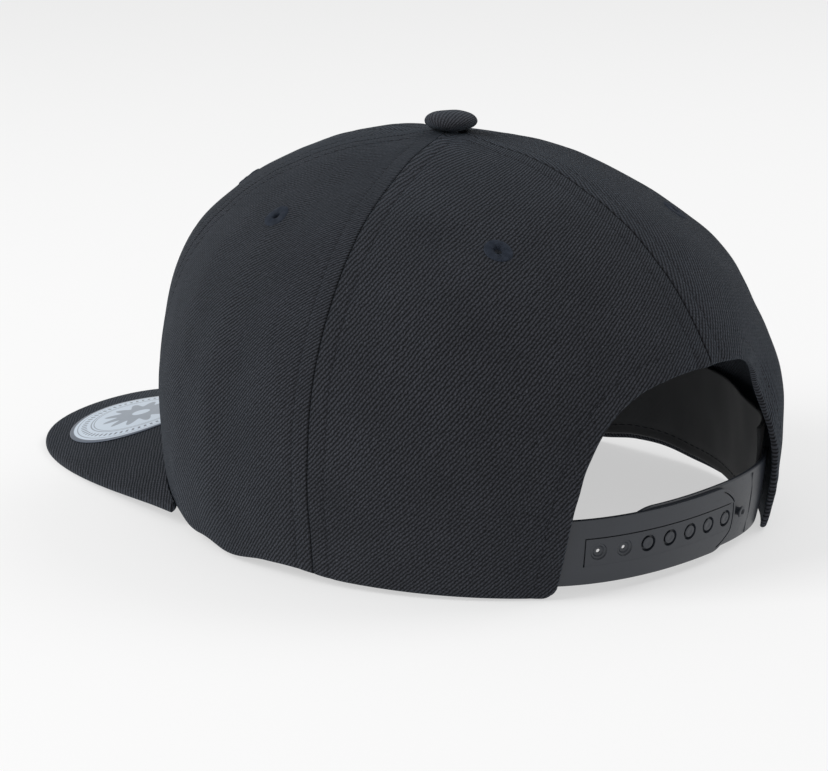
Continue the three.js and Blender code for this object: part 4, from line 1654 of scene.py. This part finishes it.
    def blank(self, start: float, end: float, tip: float, crest: float) -> bpy.types.Object:
        """Makes a flat half with soft edges, rounded over a tip, its top raised by a crest."""
        length = end - start
        marks = (0.0, 0.6, 1.2)
        along = graded(length, marks, marks, 1.1)
        across = graded(self.width, marks, marks, 1.3)
        bm, places = gridded(len(across), len(along))
        for vert in bm.verts:
            row, column = places[vert.index]
            x, side = self.outline(along[column] * length, across[row] * 2 - 1, tip)
            full = self.width / 2
            if crest:
                near_end = max((x - length) / self.end_reach + 1, 0.0)
                side *= 1 - self.end_narrowing * near_end**2
                side += crest * max(side / full, 0.0)
            vert.co = (start + x, full + side, 0.0)
        bmesh.ops.solidify(bm, geom=bm.faces[:], thickness=self.thickness)
        face_height = max(vert.co.z for vert in bm.verts)
        bmesh.ops.translate(bm, vec=(0, 0, -face_height), verts=bm.verts[:])
        outwards(bm)
        rim = [edge for edge in bm.edges if edge.calc_face_angle(0.0) > math.radians(60)]
        level = [edge for edge in rim if abs(edge.verts[0].co.z - edge.verts[1].co.z) < 0.1]
        soften(bm, level, self.edge_round, 4)
        return mesh_object(bm, "strap_blank", self.finishes.strap)

    def carved(
        self, blank: bpy.types.Object, tools: list[tuple[bmesh.types.BMesh, str]]
    ) -> bmesh.types.BMesh:
        """Cuts tools out of a flat half, or joins them to it.

        Args:
            blank: the flat half, which is removed.
            tools: meshes with the operation that each one does.

        Returns:
            The carved half, still flat.
        """
        made = []
        for tool, operation in tools:
            other = mesh_object(tool, "strap_tool", self.finishes.strap)
            cut = blank.modifiers.new("carve", "BOOLEAN")
            cut.object, cut.operation, cut.solver = other, operation, "EXACT"
            made.append(other)
        graph = bpy.context.evaluated_depsgraph_get()
        bm = bmesh.new()
        bm.from_mesh(blank.evaluated_get(graph).data)
        for used in [blank, *made]:
            data = used.data
            bpy.data.objects.remove(used)
            bpy.data.meshes.remove(data)
        return bm

    def discs(
        self, profile: Sequence[tuple[float, float]], places: Sequence[float], sides: int
    ) -> bmesh.types.BMesh:
        """Returns copies of a turned body at places along the strap's middle line."""
        bm = bmesh.new()
        for place in places:
            one = turned(profile, sides)
            bmesh.ops.translate(one, vec=(place, self.width / 2, 0), verts=one.verts[:])
            mesh = bpy.data.meshes.new("turned_part")
            one.to_mesh(mesh)
            one.free()
            bm.from_mesh(mesh)
            bpy.data.meshes.remove(mesh)
        return bm

    def channel(self, start: float) -> bmesh.types.BMesh:
        """Returns the cutter of the shallow channel, which runs out at the tip and downwards."""
        first, last = start - 2.0, self.first_hole + self.channel_lead
        size = (last - first, self.channel_width, 2 * self.channel_depth)
        bm = block(((first + last) / 2, self.width / 2, 0), size)
        for vert in bm.verts:
            if vert.co.z < 0 and vert.co.y < self.width / 2:
                vert.co.z = -0.02
        return bm

    def grooves(self, start: float) -> list[bmesh.types.BMesh]:
        """Returns the cutters of the fine grooves along the channel's top and its closed end."""
        first, last = start + 3.0, self.first_hole + self.channel_lead
        top = self.width / 2 + self.channel_width / 2
        wide, deep = self.groove_width, self.groove_depth
        return [
            block(((first + last) / 2, top, 0), (last - first, wide, 2 * deep)),
            block((last, self.width / 2, 0), (wide, self.channel_width + wide, 2 * deep)),
        ]

    def hole_half(self) -> bpy.types.Object:
        """Builds the half with the holes, from the wearer's left."""
        start = self.holes[-1] - self.tip
        end = self.foot_distance(Hand.LEFT, self.hole_depth) + self.tuck
        blank = self.blank(start, end, self.width / 2, 0.0)
        hole, floor, below = self.hole_radius, -self.channel_depth, -self.cut_through
        open_profile = [
            (0.0, below), (0.55, below), (0.6, -1.05), (hole - 0.45, -0.95),
            (hole - 0.1, floor - 0.3), (hole + 0.45, floor - 0.22), (hole + 0.7, floor + 0.1),
            (hole + 0.72, 0.6), (0.0, 0.6),
        ]
        filled_profile = [
            (0.0, below), (hole - 0.45, below), (hole - 0.45, -1.2), (hole + 0.6, -1.15),
            (hole + 0.62, floor - 0.1), (hole + 0.72, floor + 0.1), (hole + 0.72, 0.6), (0.0, 0.6),
        ]
        count = self.hole_count - self.pegs_in_holes
        tools = [(self.channel(start), "DIFFERENCE")]
        tools += [(tool, "DIFFERENCE") for tool in [*self.grooves(start), self.tip_groove(start)]]
        tools.append((self.discs(open_profile, self.holes[:count], 40), "DIFFERENCE"))
        tools.append((self.discs(filled_profile, self.holes[count:], 40), "DIFFERENCE"))
        bm = self.carved(blank, tools)
        self.bend(bm, self.hole_depth)
        sharpen(bm, 32)
        return mesh_object(bm, "hole_strap", self.finishes.strap)

    def peg_profile(self, top: float, dimple: float) -> list[tuple[float, float]]:
        """Returns the profile of a peg of some length, with a dimple in its head."""
        radius, neck = self.hole_radius - self.peg_play, self.hole_radius - 0.65
        base = -self.thickness / 2
        return [
            (0.0, base), (neck, base), (neck, top - 0.8), (radius * 0.9, top - 0.7),
            (radius, top - 0.5), (radius, top - 0.18), (radius * 0.95, top - 0.04),
            (radius * 0.85, top), (radius * 0.5, top), (radius * 0.42, top - dimple * 0.3),
            (radius * 0.34, top - dimple), (0.0, top - dimple),
        ]

    def peg_half(self) -> bpy.types.Object:
        """Builds the half with the pegs, from the wearer's right."""
        start = -self.foot_distance(Hand.RIGHT, self.peg_depth) - self.tuck
        end = self.pegs[0] + self.peg_tail
        blank = self.blank(start, end, 0.0, self.crest)
        free = self.peg_profile(self.peg_length, 0.7)
        snapped = self.peg_profile(self.snapped_length, 0.06)
        outer, outer_angles = self.lines[self.hole_depth]
        inner, inner_angles = self.lines[self.peg_depth]
        angles = np.interp(self.pegs, outer, outer_angles)
        places = np.interp(-angles, -inner_angles, inner)
        count = self.pegs_in_holes
        pegs = self.discs(snapped, list(places[:count]), 28)
        last = self.discs(free, list(places[count:]), 28)
        ridge = block((self.ridge_place, self.width / 2, 0), (0.9, self.width - 1.2, 0.7))
        soften(ridge, ridge.edges[:], 0.2, 2)
        bm = self.carved(blank, [(pegs, "UNION"), (last, "UNION"), (ridge, "UNION")])
        self.bend(bm, self.peg_depth)
        sharpen(bm, 32)
        return mesh_object(bm, "peg_strap", self.finishes.strap)

    def build(self) -> None:
        """Builds both halves."""
        self.seat(self.hole_half(), "strap", "strap_holes")
        self.seat(self.peg_half(), "strap", "strap_pegs")


@dataclass
class Sweatband(Assembly):
    """The band inside the rim, with its row of stitches."""

    finishes: Finishes
    shape: CrownShape = field(default_factory=CrownShape)
    feet: dict[Hand, float] = field(default_factory=dict)
    seat_depth: float = 2.1
    behind_strap: float = 5.9
    width: float = 32.0
    thickness: float = 1.2
    raise_by: float = 1.2
    margin: float = 1.5
    draw_in: float = 30.0
    edge_round: float = 0.5
    wave: float = 0.35
    wave_size: float = 11.0
    pull: float = 0.3
    row_height: float = 3.0
    stitch: Stitch = Stitch(pitch=3.4, length=2.6, width=0.42, height=0.3)

    def depth_at(self, angle: Array, start: float, end: float) -> Array:
        """Returns how deep the band's outer face lies under the crown's."""
        left = ease(angle, end - 1.6 * self.draw_in, end - 0.6 * self.draw_in)
        right = ease(-angle, -start - 1.6 * self.draw_in, -start - 0.6 * self.draw_in)
        return self.seat_depth + (self.behind_strap - self.seat_depth) * np.maximum(left, right)

    def build(self) -> None:
        """Builds the band and its stitches."""
        start = -(180 - self.feet[Hand.RIGHT] - self.margin)
        end = 180 - self.feet[Hand.LEFT] - self.margin
        across = np.linspace(start, end, 280)
        marks = (0, 0.12, 0.35, 0.7, 1.3, 2.2)
        up = graded(self.width, (*marks, 3.2), marks, 1.6) * self.width
        angle, height = np.meshgrid(across, up)
        turn = np.where(angle < 0, angle + 360, angle)
        rise = self.shape.rise_at(turn, self.shape.rim_height(turn) + self.raise_by + height)
        depth = self.depth_at(angle, start, end)
        edge = np.minimum(height, self.width - height)
        roll = rolled(edge, self.edge_round)
        base = self.shape.point(turn, rise, depth)
        soft = waviness(base, self.wave_size, 21.0) * self.wave * ease(height, 1.0, 8.0)
        pulled = self.pull * bell(height, self.row_height, 0.8)
        outer = self.shape.point(turn, rise, depth + roll)
        inner = self.shape.point(turn, rise, depth + self.thickness - roll + soft - pulled)
        length = Track(self.shape.smooth(turn[0], rise[0])).along
        maps = {"cloth": np.stack(np.broadcast_arrays(length[None, :], height), axis=-1)}
        bm = shell(PLACE.seat(outer), PLACE.seat(inner), maps)
        band = mesh_object(bm, "band_lining", self.finishes.band)
        self.seat(band, "band", "sweatband")
        row = int(np.argmin(np.abs(up - self.row_height)))
        normal = -self.shape.normal(turn[row], rise[row])
        bm = bmesh.new()
        self.stitch.follow(bm, inner[row] + normal * 0.05, normal, 2.0)
        settle(bm)
        self.seat(mesh_object(bm, "band_stitches", self.finishes.stitch), "thread")


# Studio


@dataclass(frozen=True)
class Softbox:
    """A soft square light, in metres and watts."""

    name: str
    spot: tuple[float, float, float]
    size: float
    power: float


@dataclass(frozen=True)
class Studio:
    """The pale floor, the soft lights and the camera."""

    azimuth: float = 134.26
    elevation: float = 16.06
    distance: float = 849.57
    roll: float = 0.27
    sideways: float = -15.91
    height: float = 36.84
    lens: float = 115.86
    sensor: float = 36.0
    floor_size: float = 30.0
    floor_shade: float = 0.45
    floor_glow: float = 0.55
    world_glow: float = 0.5
    aim_height: float = 0.05
    lights: tuple[Softbox, ...] = (
        Softbox("key", (1.3, -0.7, 1.2), 0.9, 16.0),
        Softbox("fill", (-1.0, 0.5, 1.3), 0.8, 6.0),
    )

    def camera(self) -> None:
        """Sets the camera at the photograph's angle."""
        a, e, t = (math.radians(x) for x in (self.azimuth, self.elevation, self.roll))
        back = Vector((math.sin(a) * math.cos(e), -math.cos(a) * math.cos(e), math.sin(e)))
        right = (-back).cross(Vector((0, 0, 1))).normalized()
        up = right.cross(-back)
        aim = right * self.sideways + Vector((0, 0, self.height))
        spot = aim + back * self.distance
        side = right * math.cos(t) + up * math.sin(t)
        top = up * math.cos(t) - right * math.sin(t)
        turn = PLACE.turn() @ Matrix((side, top, back)).transposed()
        data = bpy.data.cameras.new("photo_view")
        data.lens, data.sensor_width, data.clip_start = self.lens, self.sensor, 0.01
        made = bpy.data.objects.new("photo_view", data)
        seat = Vector(PLACE.seat(np.array(spot)))
        made.matrix_world = Matrix.Translation(seat) @ turn.to_4x4()
        bpy.context.scene.collection.objects.link(made)
        bpy.context.scene.camera = made

    def floor(self) -> None:
        """Lays the plain pale floor."""
        pale = Recipe("pale_floor").finish(
            Base_Color=grey(self.floor_shade, self.floor_shade, self.floor_shade),
            Roughness=1.0,
            Specular_IOR_Level=0.0,
            Emission_Color=grey(1.0, 1.0, 1.0),
            Emission_Strength=self.floor_glow,
        )
        bm = bmesh.new()
        bmesh.ops.create_grid(bm, x_segments=1, y_segments=1, size=self.floor_size)
        made = mesh_object(bm, "studio_floor", pale)

    def light(self, box: Softbox) -> None:
        """Hangs a soft square light that looks at the cap."""
        data = bpy.data.lights.new(box.name, "AREA")
        data.shape, data.size, data.energy = "SQUARE", box.size, box.power
        made = bpy.data.objects.new(box.name, data)
        made.location = box.spot
        aim = Vector((0, 0, self.aim_height)) - Vector(box.spot)
        made.rotation_euler = aim.to_track_quat("-Z", "Y").to_euler()
        bpy.context.scene.collection.objects.link(made)

    def world(self) -> None:
        """Fills the room with even pale light."""
        made = bpy.data.worlds.new("soft_room")
        made.use_nodes = True
        back = made.node_tree.nodes["Background"]
        back.inputs["Color"].default_value = grey(1.0, 1.0, 1.0)
        back.inputs["Strength"].default_value = self.world_glow
        bpy.context.scene.world = made

    def build(self) -> None:
        """Sets up the floor, the lights and the camera."""
        self.floor()
        self.world()
        for box in self.lights:
            self.light(box)
        self.camera()
        bpy.context.scene.view_settings.view_transform = "Standard"


def main() -> None:
    """Builds the cap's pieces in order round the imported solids."""
    logging.basicConfig(level=logging.INFO, format="%(name)s %(message)s")
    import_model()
    finishes = Finishes.made()
    crown = Crown(finishes)
    strap = SnapStrap(finishes)
    band = Sweatband(finishes, feet=strap.feet)
    parts: list[tuple[str, Callable[[], None]]] = [
        ("crown", crown.build),
        ("button", Button(finishes).build),
        ("visor", Visor(finishes).build),
        ("snap strap", strap.build),
        ("sweatband", band.build),
        ("studio", Studio().build),
    ]
    for name, build in parts:
        build()
        log.info("%s is built", name)


if __name__ == "__main__":
    main()
